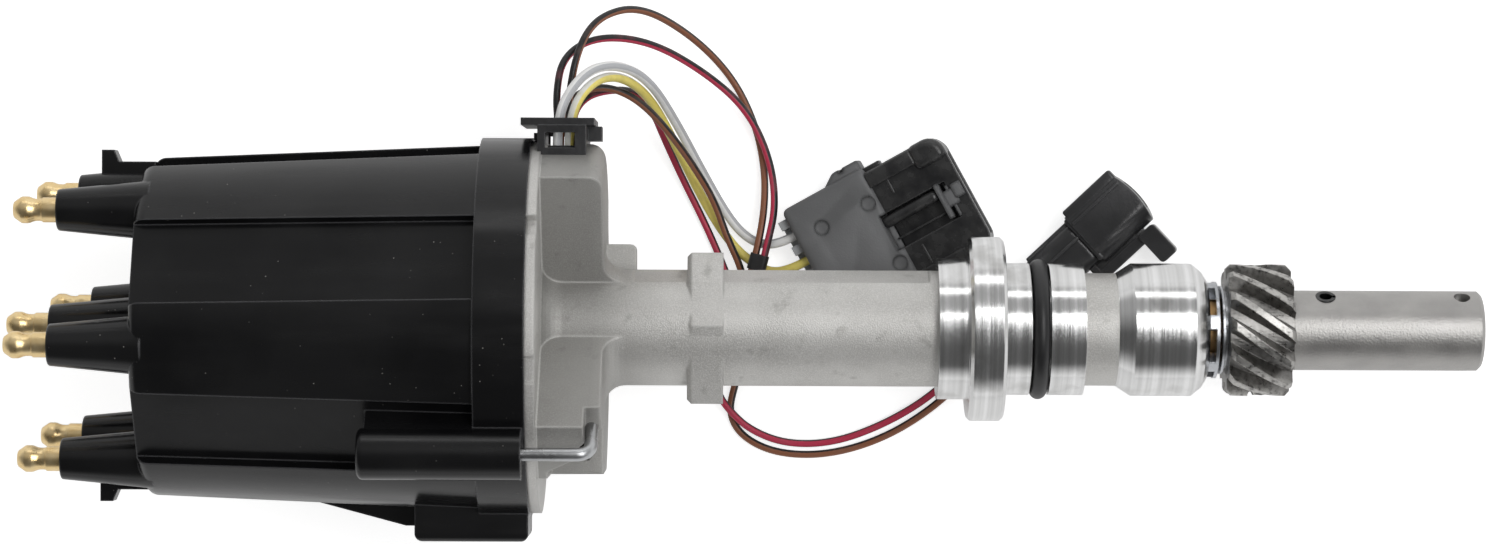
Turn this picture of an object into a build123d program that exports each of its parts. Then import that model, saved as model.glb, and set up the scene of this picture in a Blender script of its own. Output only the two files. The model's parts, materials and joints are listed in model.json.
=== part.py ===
from build123d import *
import os
from math import acos, asin, atan2, cos, degrees, pi, radians, sin, sqrt, tan

# Ignition distributor for a six-cylinder engine, with its harness, lying on its side.
# Lengths are millimetres and angles are degrees. Every piece of the distributor is drawn in
# the shaft's frame: X runs along the shaft from the cap to the drive end, X = 0 is the face
# of the hold-down flange that sits on the engine block, and a clock angle A about the shaft
# stands for the direction (0, sin A, cos A). Plug towers are at clock 0, 60, 120 and so on.

# Housing, from the block seat towards the cap
flange_thickness = 8.6
flange_radius = 22.1
upper_ring_length = 7.2
upper_ring_radius = 16.9
neck_tube_length = 79.5
neck_tube_radius = 13.9
bowl_depth = 14.9
bowl_radius = 43.9
rim_thickness = 2.4
rim_lip = 0.7
casting_wall = 3.4
casting_clock = 7.0
spigot_height = 5.0
spigot_wall = 3.2
hub_length = 25.0
hub_radius = 11.5
hub_base_radius = 15.0
hub_base_length = 18.6
tube_band_offset = 19.8
tube_band_width = 8.6
tube_band_reach = 18.0
tube_band_crest = 14.6
flat_half_angle = 18.0
flare_radius = 5.0
floor_relief = 0.05
bottom_flat_depth = 8.9

# Housing, from the block seat towards the drive end
seat_ring_length = 6.2
pilot_radius = 15.8
groove_length = 4.6
groove_radius = 12.8
o_ring_section = 4.0
pilot_length = 8.3
waist_length = 11.6
waist_radius = 13.5
barrel_length = 14.4
barrel_radius = 15.9
nose_length = 3.6
nose_radius = 11.9
edge_break = 0.8

# Shaft, bushings and drive
shaft_radius = 6.2
running_clearance = 0.03
bushing_wall = 2.0
lower_bushing_length = 24.6
bushing_stand_out = 1.9
upper_bushing_length = 25.0
bore_relief = 0.5
thrust_stack = 4.7
thrust_cup_thickness = 0.8
thrust_cup_radius = 11.6
thrust_tab_width = 3.4
thrust_tab_count = 6
shim_thickness = 0.8
shim_radius = 9.4
wave_washer_thickness = 0.7
wave_washer_radius = 10.6
wave_washer_dish = 0.7
thrust_gap = 0.05
gear_length = 15.3
gear_radius = 15.8
gear_root_radius = 12.5
gear_teeth = 13
gear_lead = 136.0
gear_crest_share = 0.24
gear_foot_share = 0.62
gear_end_break = 1.1
gear_pin_radius = 2.4
gear_pin_clock = 97.0
sleeve_length = 45.8
sleeve_radius = 9.55
sleeve_grip = 20.0
sleeve_pin_offset = 8.2
sleeve_pin_radius = 2.4
sleeve_pin_clock = 66.0
roll_pin_wall = 0.9
roll_pin_slot = 1.0
drive_hole_offset = 5.0
drive_hole_radius = 1.95
socket_clearance = 0.5

# Ignition pickup, module and trigger wheel
pickup_plate_thickness = 1.5
pickup_plate_radius = 31.0
pickup_flat_depth = 3.5
magnet_length = 8.0
magnet_inner_radius = 25.0
magnet_outer_radius = 30.5
bobbin_length = 7.8
bobbin_inner_radius = 12.2
bobbin_outer_radius = 24.2
bobbin_flange = 1.0
winding_depth = 1.2
pole_piece_thickness = 2.0
pole_tooth_length = 8.0
pole_tooth_thickness = 2.0
pole_tooth_half_angle = 8.0
cylinders = 6
air_gap = 0.8
wheel_tooth_radius = 19.0
wheel_body_radius = 16.5
wheel_length = 6.5
wheel_lift = 3.0
wheel_tooth_half_angle = 7.0
wheel_hub_radius = 9.0
rotor_plate_radius = 20.0
rotor_plate_thickness = 2.0
wheel_hub_length = 6.0
clip_thickness = 0.8
clip_radius = 12.0
clip_groove_radius = 10.5
clip_gap_angle = 60.0
seal_thickness = 1.6
seal_radius = 10.0
module_length = 38.0
module_width = 17.0
module_height = 8.0
module_clock = 207.0
module_seat_radius = 24.5
module_screw_radius = 1.6
module_screw_head_radius = 1.9
module_screw_head = 2.2
module_screw_depth = 2.6
module_ear = 4.0
module_ear_half_width = 3.0
module_ear_height = 3.0

# Rotor
rotor_base_radius = 21.0
rotor_base_thickness = 4.0
rotor_post_radius = 9.0
rotor_length = 28.0
rotor_arm_width = 11.0
rotor_arm_height = 6.0
rotor_arm_inset = 7.15
rotor_clock = 30.0
blade_width = 5.0
blade_thickness = 1.0
blade_tip_gap = 0.8
contact_spring_thickness = 0.5
contact_spring_width = 4.0
contact_foot_end = 9.0
contact_bend = 3.0
contact_top = 0.6
contact_tip = -1.5
rotor_screw_radius = 1.7
rotor_screw_head_radius = 3.2
rotor_screw_head = 2.2
rotor_screw_reach = 15.5

# Cap
skirt_length = 12.0
skirt_overhang = 0.7
skirt_clearance = 0.3
cap_body_length = 79.6
cap_taper = 3.3
cap_foot_step = 1.4
cap_wall = 3.2
cap_end_wall = 3.7
panel_depth = 3.0
panel_half_width = 10.4
cap_edge_round = 3.0
tower_inset = 6.45
tower_length = 19.0
tower_base_radius = 6.7
tower_tip_radius = 4.85
centre_tower_extra = 5.0
terminal_reach = 10.3
terminal_ball_radius = 3.175
terminal_waist_radius = 2.3
terminal_collar_radius = 3.05
terminal_collar_length = 3.3
terminal_flat_radius = 1.7
terminal_stem_radius = 2.0
terminal_post_radius = 2.6
terminal_post_length = 16.5
button_radius = 3.0
button_length = 9.0
button_clearance = 0.15
button_recess = 5.0
button_gap = 0.1
button_travel = 3.0
button_spring_length = 9.0
button_spring_wire = 0.8
hook_height = 11.4
hook_thickness = 3.2
hook_overhang = 2.8
hook_width = 6.0
hook_inset = 4.6
lug_length = 27.0
lug_half_width = 10.0
lug_stand_out = 5.7
rib_length = 25.0
rib_thickness = 4.0

# Latches that hold the cap down
latch_clocks = (-30.0, 150.0)
latch_offset = 2.7
latch_tower_radius = 6.0
latch_tower_length = 38.0
latch_rod_radius = 1.55
latch_foot_length = 10.0
latch_bend_radius = 3.2
latch_ledge_offset = 13.5
latch_foot_clearance = 0.15
latch_bore_clearance = 0.25
latch_head_radius = 4.4
latch_head_length = 3.0
latch_head_depth = 3.5
latch_slot_width = 1.2
latch_spring_bore = 4.8
latch_shoulder = 12.0
latch_spring_wire = 1.0
latch_spring_radius = 3.6
latch_washer_thickness = 0.8
latch_washer_gap = 0.1
latch_push = 2.5
latch_swing_clearance = 0.6
tower_end_gap = 0.7

# Harness clip on the bowl
clip_box_length = 11.5
clip_box_half_width = 16.0
clip_box_height = 8.2
clip_box_offset = 1.6
clip_wall = 1.4
clip_plate_length = 17.4
clip_plate_thickness = 1.7
clip_drop = 4.1
clip_fit = 0.05
wire_way_margin = 2.2
wire_way_half_width = 12.0
wire_way_depth = 13.9
grommet_depth = 7.4
grommet_drop = 0.7
grommet_clearance = 0.1

# Connectors and wires. A connector's place and turn are those of its wire end on the floor
four_way_length = 43.0
four_way_rear = 23.0
four_way_width = 34.0
four_way_height = 11.0
four_way_pitch = 6.9
four_way_place = (-48.14, 12.5)
four_way_turn = 29.1
four_way_seal_radius = 2.4
four_way_seal_length = 5.0
lock_reach = 2.2
lock_height = 4.6
lock_bar = 0.9
lock_finger_width = 2.3
two_way_hood_length = 16.0
two_way_hood_width = 14.8
two_way_height = 11.4
two_way_rear_length = 16.0
two_way_rear_width = 12.0
two_way_rear_height = 9.6
two_way_lift = 0.3
two_way_pitch = 5.0
two_way_place = (18.58, 21.03)
two_way_turn = 43.4
two_way_seal_radius = 1.9
two_way_seal_length = 4.0
connector_wall = 1.6
hump_start = 9.5
hump_length = 13.1
hump_rise = 2.2
hump_ramp = 6.1
hump_inset = 1.5
latch_recess_length = 18.0
latch_recess_width = 9.5
latch_recess_depth = 3.5
latch_bump_length = 5.0
latch_bump_width = 7.5
latch_bump_height = 2.6
latch_bump_setback = 3.5
latch_aside = -0.6
dimple_radius = 1.8
dimple_depth = 0.25
hood_rib_width = 2.6
hood_rib_height = 3.4
hood_arc_radius = 21.6
lever_length = 16.0
lever_thickness = 2.5
lever_height = 5.0
lever_gap = 0.5
lever_root_length = 1.6
thumb_block_length = 4.8
thumb_block_width = 9.0
thumb_block_height = 7.0
socket_recess = 2.0
blade_width_4 = 2.4
blade_height_4 = 1.6
blade_width_2 = 1.6
blade_height_2 = 1.0
blade_setback = 1.5
thick_wire_radius = 1.15
thin_wire_radius = 0.9
wire_sleeve_wall = 0.35
wire_sleeve_length = 4.0
wire_sleeve_middle = (-62.3, 14.8, 7.3)
wire_sleeve_turn = -105.0
wire_pair_spacing = 2.25
wire_exit_run = 4.5
wire_lead = 4.0

# Radii that follow from the bowl's, outwards over the rim to the cap and its latches
rim_radius = bowl_radius + rim_lip
wire_way_bottom = bowl_radius - wire_way_depth
grommet_bottom = bowl_radius - grommet_depth
grommet_top = bowl_radius - grommet_drop
clip_bottom = bowl_radius - clip_drop
skirt_radius = rim_radius + skirt_overhang
cap_foot_radius = skirt_radius - cap_foot_step
cap_face_radius = cap_foot_radius - cap_taper
tower_circle = cap_face_radius - tower_inset
hook_radius = cap_face_radius - hook_inset
lug_reach = skirt_radius + lug_stand_out
latch_circle = skirt_radius + latch_offset
rotor_arm_reach = tower_circle - rotor_arm_inset
bowl_bottom = bowl_radius - bottom_flat_depth

# Stations along the shaft, worked out from the lengths above
flange_x = -flange_thickness
upper_ring_x = flange_x - upper_ring_length
bowl_end_x = upper_ring_x - neck_tube_length
bowl_start_x = bowl_end_x - bowl_depth
joint_x = bowl_start_x - rim_thickness
hub_x = joint_x - hub_length
hub_base_x = joint_x - hub_base_length
skirt_x = joint_x - skirt_length
cap_face_x = skirt_x - cap_body_length
cap_inner_x = cap_face_x + cap_end_wall
tower_tip_x = cap_face_x - tower_length
groove_x = seat_ring_length
pilot_x = groove_x + groove_length
waist_x = pilot_x + pilot_length
barrel_x = waist_x + waist_length
barrel_end_x = barrel_x + barrel_length
nose_x = barrel_end_x + nose_length
gear_x = nose_x + thrust_stack
gear_end_x = gear_x + gear_length
sleeve_end_x = gear_end_x + sleeve_length
shaft_end_x = gear_end_x + sleeve_grip
band_x = bowl_end_x + tube_band_offset
bushing_radius = shaft_radius + bushing_wall
magnet_x = hub_base_x - pickup_plate_thickness - magnet_length
bobbin_x = hub_base_x - pickup_plate_thickness - bobbin_length
pole_x = magnet_x - pole_piece_thickness
wheel_end_x = bobbin_x - wheel_lift
wheel_x = wheel_end_x - wheel_length
rotor_plate_x = wheel_x - wheel_hub_length - rotor_plate_thickness
rotor_top_x = rotor_plate_x - rotor_length
shaft_top_x = rotor_plate_x - 2.0
pole_inner_radius = wheel_tooth_radius + air_gap
cap_cavity_face_radius = cap_face_radius - panel_depth - cap_wall - 1.4
cap_cavity_foot_radius = cap_foot_radius - panel_depth - cap_wall - 1.4
latch_ledge_x = joint_x + latch_ledge_offset
latch_foot_x = latch_ledge_x + latch_foot_clearance
tower_end_x = joint_x - tower_end_gap
tower_start_x = tower_end_x - latch_tower_length
latch_head_x = tower_start_x + latch_head_depth
latch_washer_x = latch_head_x + latch_head_length + latch_washer_gap
button_end_x = cap_inner_x + button_length - button_recess
button_bore_x = cap_inner_x - button_recess - button_spring_length
clip_box_x = joint_x + clip_box_offset
floor_slope = degrees(atan2(skirt_radius - sleeve_radius, sleeve_end_x - edge_break - joint_x))
roll = latch_clocks[1] + degrees(acos((skirt_radius - latch_tower_radius) / latch_circle)) - 180


def clock(angle):
    """Turn a piece drawn at clock 0 to the given clock angle."""
    return Rot(-angle, 0, 0)


def turned(profile):
    """A solid turned about the shaft's axis from (station, radius) corners."""
    return revolve(make_face(Polyline(*profile, close=True)), Axis.X)


def tube(start, end, outer, inner=0.0):
    """A plain turned ring between two stations."""
    return turned([(start, inner), (end, inner), (end, outer), (start, outer)])


def rod_along(start, end, radius):
    """A round bar along X."""
    return Pos((start + end) / 2, 0, 0) * Rot(0, 90, 0) * Cylinder(radius, end - start)


def slab(start, end, half_width, low, high):
    """A block between two stations at clock 0, reaching from one radius to another."""
    size = (end - start, 2 * half_width, high - low)
    return Pos((start + end) / 2, 0, (low + high) / 2) * Box(*size)


def cross_section(points, start, length):
    """A prism along X from corners given across the shaft as (sideways, towards clock 0)."""
    return extrude(Plane.YZ.offset(start) * make_face(Polyline(*points, close=True)), amount=length)


def side_profile(points, half_width):
    """A prism across the shaft from (station, radius) corners at clock 0."""
    return extrude(Plane.XZ * make_face(Polyline(*points, close=True)), amount=half_width, both=True)


def concave_flare(wall_x, tube_end_x):
    """The cove between a wall and the neck tube."""
    reach = abs(tube_end_x - wall_x)
    steps = 6
    arc = []
    for step in range(steps + 1):
        angle = radians(90 * step / steps)
        station = wall_x + (tube_end_x - wall_x) * (1 - cos(angle))
        arc.append((station, neck_tube_radius + reach * (1 - sin(angle))))
    start_x = wall_x - (tube_end_x - wall_x) * 0.05
    inner = neck_tube_radius - 1.0
    return turned([(start_x, inner), (start_x, neck_tube_radius + reach)] + arc + [(tube_end_x, inner)])


def bowl_face():
    """The deep part of the bowl seen along the shaft: a disc with a wide V for the neck tube."""
    tube_low = (-1.97, 13.7)
    tube_high = (10.8, 8.7)
    lower_lip = (-0.522 * bowl_radius, 0.868 * bowl_radius)
    upper_lip = (0.825 * bowl_radius, 0.608 * bowl_radius)
    outside = 70.0
    corners = [tube_high, upper_lip, (outside, outside), (-outside, outside), lower_lip, tube_low]
    valley = make_face(Polyline(*corners, close=True))
    flat_bottom = Pos(-bowl_bottom - outside / 2, 0) * Rectangle(outside, 2 * outside)
    return Circle(bowl_radius) - valley - flat_bottom


def floor_side_flat():
    """What is cut off the bowl's far side, in line with the cap's skirt and the drive sleeve."""
    outside = 70.0
    ends = (bowl_start_x, bowl_end_x + flare_radius)
    low, high = [skirt_radius - (x - joint_x) * tan(radians(floor_slope)) - floor_relief for x in ends]
    wedge = [(ends[0], low), (ends[1], high), (ends[1], outside), (ends[0], outside)]
    return clock(180 + roll) * side_profile(wedge, outside)


def wire_way_ends():
    """Where the slot for the wires starts and ends along the shaft."""
    return clip_box_x + wire_way_margin, clip_box_x + clip_box_length - wire_way_margin


def housing():
    outline = bowl_face()
    bowl = extrude(Plane.YZ.offset(joint_x) * outline, amount=bowl_end_x - joint_x)
    corner = bowl.faces().sort_by(Axis.X)[-1].edges().filter_by(GeomType.CIRCLE)
    bowl = fillet(corner, 3.5)
    swept_corner = [
        (bowl_end_x + 1, 12.5 - bowl_bottom),
        (bowl_end_x - 5.0, 7.5 - bowl_bottom),
        (bowl_end_x - 6.5, 4.3 - bowl_bottom),
        (bowl_end_x - 12.5, 1.6 - bowl_bottom),
        (bowl_end_x - 12.5, -60),
        (bowl_end_x + 1, -60),
    ]
    near_corner = extrude(Plane.XY.offset(5.0) * make_face(Polyline(*swept_corner, close=True)), amount=60)
    bowl = bowl - near_corner
    flare_zone = extrude(Plane.YZ.offset(bowl_end_x - 1) * outline, amount=flare_radius + 1)
    right_flare = concave_flare(bowl_end_x, bowl_end_x + flare_radius) & flare_zone
    left_flare = concave_flare(bowl_start_x, bowl_start_x + flare_radius)
    side_lug = Pos(bowl_end_x + 3.7, 14.0, -10.0) * Box(7.4, 12.0, 6.0)
    side_lug = fillet(side_lug.edges().filter_by(Axis.Z).sort_by(Axis.X)[-2:].sort_by(Axis.Y)[-1], 1.6)
    band = cross_section(
        [
            (tube_band_reach, 6),
            (11.0, 10.5),
            (0.7, tube_band_crest),
            (-tube_band_reach, 8.5),
            (-tube_band_reach, -8.5),
            (0.7, -tube_band_crest),
            (11.0, -10.5),
            (tube_band_reach, -6),
        ],
        band_x,
        tube_band_width,
    )
    band = chamfer(band.faces().sort_by(Axis.X)[0].edges(), 1.0)
    neck = tube(bowl_start_x, upper_ring_x, neck_tube_radius)
    for side in (90 - flat_half_angle - 2, 90 + flat_half_angle + 2):
        flat_low = neck_tube_radius * cos(radians(flat_half_angle))
        neck = neck - clock(side) * slab(bowl_end_x + 7, upper_ring_x - 2, 10, flat_low, flat_low + 10)
    rim_notch = clock(32.9) * slab(joint_x - 1, bowl_start_x + 0.2, 2.6, rim_radius - 2.4, rim_radius + 5)
    rim_step = clock(-12.0) * slab(joint_x - 1, bowl_start_x, 3.1, rim_radius - 0.75, rim_radius + 5)
    cast = tube(joint_x, bowl_start_x, rim_radius) - rim_notch - rim_step
    cast = cast + bowl + right_flare + left_flare + side_lug + band + neck
    cast = clock(casting_clock) * cast - floor_side_flat()

    # The latch foot reaches behind a ledge of the bowl, and swings clear of it
    swing_radius = latch_foot_length + latch_rod_radius + latch_swing_clearance
    for angle in latch_clocks:
        swing = Pos(0, 0, latch_circle) * rod_along(latch_ledge_x, bowl_end_x + 3, swing_radius)
        cast = cast - clock(angle) * swing

    machined = turned(
        [
            (upper_ring_x, 0),
            (upper_ring_x, upper_ring_radius),
            (flange_x, upper_ring_radius),
            (flange_x, flange_radius - edge_break),
            (flange_x + edge_break, flange_radius),
            (-edge_break, flange_radius),
            (0, flange_radius - edge_break),
            (0, pilot_radius),
            (groove_x, pilot_radius),
            (groove_x, groove_radius),
            (pilot_x, groove_radius),
            (pilot_x, pilot_radius),
            (waist_x, pilot_radius),
            (waist_x, waist_radius),
            (barrel_x - 3.7, waist_radius),
            (barrel_x, barrel_radius),
            (barrel_end_x, barrel_radius),
            (nose_x - 1.2, nose_radius + 2.0),
            (nose_x, nose_radius),
            (nose_x, 0),
        ]
    )
    spigot_radius = skirt_radius - cap_wall + skirt_clearance - 0.6
    spigot = tube(joint_x - spigot_height, joint_x, spigot_radius, spigot_radius - spigot_wall)
    hub = turned(
        [
            (joint_x, 0),
            (hub_x, 0),
            (hub_x, hub_radius),
            (hub_base_x, hub_radius),
            (hub_base_x, hub_base_radius),
            (joint_x, hub_base_radius),
        ]
    )
    clip_end_x = hub_x + 1.0 + clip_thickness
    clip_groove = tube(hub_x + 1.0, clip_end_x, hub_radius + 1, clip_groove_radius)
    cast = cast + machined + spigot + hub - clip_groove

    # The bowl is hollow behind the cap, for the module and the wires
    inner_outline = offset(outline, -casting_wall) - Circle(hub_base_radius)
    cavity = extrude(
        Plane.YZ.offset(joint_x - 0.5) * inner_outline, amount=bowl_end_x - casting_wall - joint_x + 0.5
    )
    ledge_x = latch_ledge_x - casting_wall
    for angle in latch_clocks:
        ledge = Pos(0, 0, latch_circle) * rod_along(ledge_x, bowl_end_x, swing_radius + casting_wall)
        cavity = cavity - clock(angle - casting_clock) * ledge
    way_start, way_end = wire_way_ends()
    wire_way = clock(90) * slab(way_start, way_end, wire_way_half_width, wire_way_bottom, bowl_radius + 1)
    cast = cast - clock(casting_clock) * (cavity + wire_way)
    cast = cast - module_place() * module_screw_bores()

    # The shaft's bore, opened out between the two bushings
    cast = cast - tube(hub_x - 1, nose_x + 1, bushing_radius)
    relief_start = hub_x + upper_bushing_length
    relief_end = nose_x + bushing_stand_out - lower_bushing_length
    return cast - tube(relief_start, relief_end, bushing_radius + bore_relief)


def o_ring():
    middle = groove_x + groove_length / 2
    ring_radius = groove_radius + o_ring_section / 2
    section = Pos(middle, ring_radius) * Circle(o_ring_section / 2)
    return revolve(section, Axis.X)


def bushing(start, length):
    return tube(start, start + length, bushing_radius, shaft_radius + running_clearance)


def retaining_clip():
    start = hub_x + 1.0
    ring = tube(start, start + clip_thickness, clip_radius, clip_groove_radius)
    half_gap = tan(radians(clip_gap_angle / 2)) * clip_radius
    return ring - clock(-90) * slab(start - 1, start + 2, half_gap, 0, clip_radius + 2)


def wire_side_flat(start, end):
    """The cut that leaves room for the wires beside the pickup."""
    cut = slab(start, end, 40, pickup_plate_radius - pickup_flat_depth, pickup_plate_radius + 9)
    return clock(casting_clock + 90) * cut


def pickup_plate():
    start = hub_base_x - pickup_plate_thickness
    plate = tube(start, hub_base_x, pickup_plate_radius, hub_radius + 0.05)
    return plate - wire_side_flat(start - 1, hub_base_x + 1)


def magnet_ring():
    ring = tube(magnet_x, magnet_x + magnet_length, magnet_outer_radius, magnet_inner_radius)
    return ring - wire_side_flat(magnet_x - 1, hub_base_x)


def coil_bobbin():
    end = bobbin_x + bobbin_length
    return turned(
        [
            (bobbin_x, bobbin_inner_radius),
            (end, bobbin_inner_radius),
            (end, bobbin_outer_radius),
            (end - bobbin_flange, bobbin_outer_radius),
            (end - bobbin_flange, bobbin_inner_radius + bobbin_flange),
            (bobbin_x + bobbin_flange, bobbin_inner_radius + bobbin_flange),
            (bobbin_x + bobbin_flange, bobbin_outer_radius),
            (bobbin_x, bobbin_outer_radius),
        ]
    )


def pickup_winding():
    start = bobbin_x + bobbin_flange
    end = bobbin_x + bobbin_length - bobbin_flange
    return tube(start, end, bobbin_outer_radius - winding_depth, bobbin_inner_radius + bobbin_flange)


def pole_piece():
    ring = tube(pole_x, pole_x + pole_piece_thickness, magnet_outer_radius, pole_inner_radius)
    piece = ring - wire_side_flat(pole_x - 1, hub_base_x)
    shell = tube(
        pole_x - pole_tooth_length, pole_x, pole_inner_radius + pole_tooth_thickness, pole_inner_radius
    )
    half_width = (pole_inner_radius + pole_tooth_thickness) * sin(radians(pole_tooth_half_angle))
    for index in range(cylinders):
        tooth = slab(pole_x - pole_tooth_length, pole_x, half_width, 0, pole_inner_radius + 5)
        piece = piece + (shell & clock(360 / cylinders * index) * tooth)
    return piece


def trigger_wheel():
    wheel = tube(wheel_x, wheel_end_x, wheel_body_radius)
    rim = tube(wheel_x, wheel_end_x, wheel_tooth_radius)
    half_width = wheel_tooth_radius * sin(radians(wheel_tooth_half_angle))
    for index in range(cylinders):
        tooth = slab(wheel_x, wheel_end_x, half_width, wheel_body_radius - 3, wheel_tooth_radius + 2)
        wheel = wheel + (rim & clock(360 / cylinders * index) * tooth)
    hub = tube(rotor_plate_x + rotor_plate_thickness, wheel_x, wheel_hub_radius)
    plate = tube(rotor_plate_x, rotor_plate_x + rotor_plate_thickness, rotor_plate_radius)
    wheel = wheel + hub + plate - tube(rotor_plate_x - 1, wheel_end_x + 1, shaft_radius)
    return wheel - rotor_screw_holes()


def rotor_screw_places():
    for side in (90, 270):
        yield clock(rotor_clock + side) * Pos(0, 0, rotor_screw_reach)


def rotor_screw_holes():
    hole = rod_along(rotor_plate_x - 20, rotor_plate_x + rotor_plate_thickness + 1, rotor_screw_radius)
    return Compound([place * hole for place in rotor_screw_places()])


def rotor_body():
    base_x = rotor_plate_x - rotor_base_thickness
    base = tube(base_x, rotor_plate_x, rotor_base_radius)
    base = fillet(base.edges().filter_by(GeomType.CIRCLE).sort_by(Axis.X)[0], 1.2)
    post = turned(
        [
            (rotor_top_x + 1, 0),
            (rotor_top_x + 1, rotor_post_radius - 1.5),
            (base_x + 1, rotor_post_radius + 1.0),
            (base_x + 1, 0),
        ]
    )
    arm = side_profile(
        [
            (rotor_top_x, -7.0),
            (rotor_top_x, rotor_arm_reach),
            (rotor_top_x + 2.5, rotor_arm_reach),
            (rotor_top_x + rotor_arm_height + 4, rotor_post_radius),
            (rotor_top_x + rotor_arm_height + 4, -7.0),
        ],
        rotor_arm_width / 2,
    )
    body = base + post + clock(rotor_clock) * arm
    shaft_socket = tube(shaft_top_x - 0.1, rotor_plate_x + 1, shaft_radius + 0.1)
    return body - shaft_socket - rotor_screw_holes()


def rotor_screws():
    base_x = rotor_plate_x - rotor_base_thickness
    shank = rod_along(base_x, rotor_plate_x + rotor_plate_thickness, rotor_screw_radius)
    head = rod_along(base_x - rotor_screw_head, base_x, rotor_screw_head_radius)
    slot = Pos(base_x - rotor_screw_head, 0, 0) * Box(1.6, 1.0, 20)
    return [place * (shank + head - slot) for place in rotor_screw_places()]


def rotor_blade():
    reach = tower_circle - terminal_post_radius - blade_tip_gap
    strip = slab(rotor_top_x - blade_thickness, rotor_top_x, blade_width / 2, -3.0, reach)
    return clock(rotor_clock) * strip


def rotor_contact():
    """A bent leaf that stands on the blade and touches the carbon button."""
    leaf_x = button_end_x + button_gap
    leaf_under_x = leaf_x + contact_spring_thickness
    foot_x = rotor_top_x - blade_thickness
    foot_top_x = foot_x - contact_spring_thickness
    leaf = side_profile(
        [
            (foot_x, contact_foot_end),
            (foot_x, contact_bend),
            (leaf_under_x, contact_top),
            (leaf_under_x, contact_tip),
            (leaf_x, contact_tip),
            (leaf_x, contact_top + contact_spring_thickness / 2),
            (foot_top_x, contact_bend + contact_spring_thickness / 2),
            (foot_top_x, contact_foot_end),
        ],
        contact_spring_width / 2,
    )
    return clock(rotor_clock) * leaf


def shaft():
    body = turned(
        [
            (shaft_top_x, 0),
            (shaft_top_x, shaft_radius - 0.6),
            (shaft_top_x + 0.6, shaft_radius),
            (shaft_end_x - 0.6, shaft_radius),
            (shaft_end_x, shaft_radius - 0.6),
            (shaft_end_x, 0),
        ]
    )
    return body - gear_pin_bore() - sleeve_pin_bore()


def gear_pin_bore():
    middle = (gear_x + gear_end_x) / 2
    return clock(gear_pin_clock) * Pos(middle, 0, 0) * Cylinder(gear_pin_radius, 2 * gear_radius + 2)


def sleeve_pin_bore():
    station = gear_end_x + sleeve_pin_offset
    return clock(sleeve_pin_clock) * Pos(station, 0, 0) * Cylinder(sleeve_pin_radius, 2 * sleeve_radius + 2)


def roll_pin(station, angle, radius, length):
    pin = Cylinder(radius, length) - Cylinder(radius - roll_pin_wall, length + 1)
    slit = Pos(radius / 2 + 0.5, 0, 0) * Box(radius + 1, roll_pin_slot, length + 1)
    return clock(angle) * Pos(station, 0, 0) * (pin - slit)


def gear_pin():
    length = 2 * gear_root_radius - 1
    return roll_pin((gear_x + gear_end_x) / 2, gear_pin_clock, gear_pin_radius, length)


def sleeve_pin():
    return roll_pin(gear_end_x + sleeve_pin_offset, sleeve_pin_clock, sleeve_pin_radius, 2 * sleeve_radius)


def drive_gear():
    pitch = 360 / gear_teeth
    blank = Circle(gear_root_radius)
    crest = radians(pitch * gear_crest_share / 2)
    foot = radians(pitch * gear_foot_share / 2)
    tooth = Polyline(
        (gear_root_radius * 0.9 * cos(foot), -gear_root_radius * 0.9 * sin(foot)),
        (gear_root_radius * cos(foot), -gear_root_radius * sin(foot)),
        ((gear_radius + 0.3) * cos(crest), -(gear_radius + 0.3) * sin(crest)),
        ((gear_radius + 0.3) * cos(crest), (gear_radius + 0.3) * sin(crest)),
        (gear_root_radius * cos(foot), gear_root_radius * sin(foot)),
        (gear_root_radius * 0.9 * cos(foot), gear_root_radius * 0.9 * sin(foot)),
        close=True,
    )
    outline = blank
    for index in range(gear_teeth):
        outline = outline + Rot(0, 0, pitch * index) * make_face(tooth)
    twist = 360 * gear_length / gear_lead
    wire = outline.faces()[0].outer_wire()
    helical = Solid.extrude_linear_with_rotation(wire, (0, 0, 0), (0, 0, gear_length), twist)
    helical = Pos(gear_x, 0, 0) * Rot(0, 90, 0) * helical
    envelope = turned(
        [
            (gear_x, 0),
            (gear_x, gear_radius - gear_end_break),
            (gear_x + gear_end_break, gear_radius),
            (gear_end_x - gear_end_break, gear_radius),
            (gear_end_x, gear_radius - gear_end_break),
            (gear_end_x, 0),
        ]
    )
    return (helical & envelope) - tube(gear_x - 1, gear_end_x + 1, shaft_radius) - gear_pin_bore()


def drive_sleeve():
    body = turned(
        [
            (gear_end_x, shaft_radius),
            (gear_end_x, sleeve_radius),
            (sleeve_end_x - edge_break, sleeve_radius),
            (sleeve_end_x, sleeve_radius - edge_break),
            (sleeve_end_x, shaft_radius + socket_clearance),
            (shaft_end_x, shaft_radius + socket_clearance),
            (shaft_end_x, shaft_radius),
        ]
    )
    drive_hole = clock(sleeve_pin_clock) * Pos(sleeve_end_x - drive_hole_offset, 0, 0)
    return body - sleeve_pin_bore() - drive_hole * Cylinder(drive_hole_radius, 3 * sleeve_radius)


def thrust_cup():
    """The castellated washer between the housing's nose and the spring washer."""
    end = gear_x - shim_thickness - wave_washer_thickness - wave_washer_dish - 2 * thrust_gap
    start = end - thrust_cup_thickness
    cup = tube(start, end, thrust_cup_radius, bushing_radius + 0.3)
    shell = tube(nose_x, start, thrust_cup_radius, bushing_radius + 0.3)
    for index in range(thrust_tab_count):
        tab = slab(nose_x, start, thrust_tab_width / 2, 0, thrust_cup_radius + 1)
        cup = cup + (shell & clock(360 / thrust_tab_count * index + 17) * tab)
    return cup


def spring_washer():
    outer = gear_x - shim_thickness
    inner = outer - wave_washer_dish
    return turned(
        [
            (inner, shaft_radius + 0.1),
            (outer, wave_washer_radius),
            (outer - wave_washer_thickness, wave_washer_radius),
            (inner - wave_washer_thickness, shaft_radius + 0.1),
        ]
    )


def shim_washer():
    return tube(gear_x - shim_thickness, gear_x, shim_radius, shaft_radius + 0.1)


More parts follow.
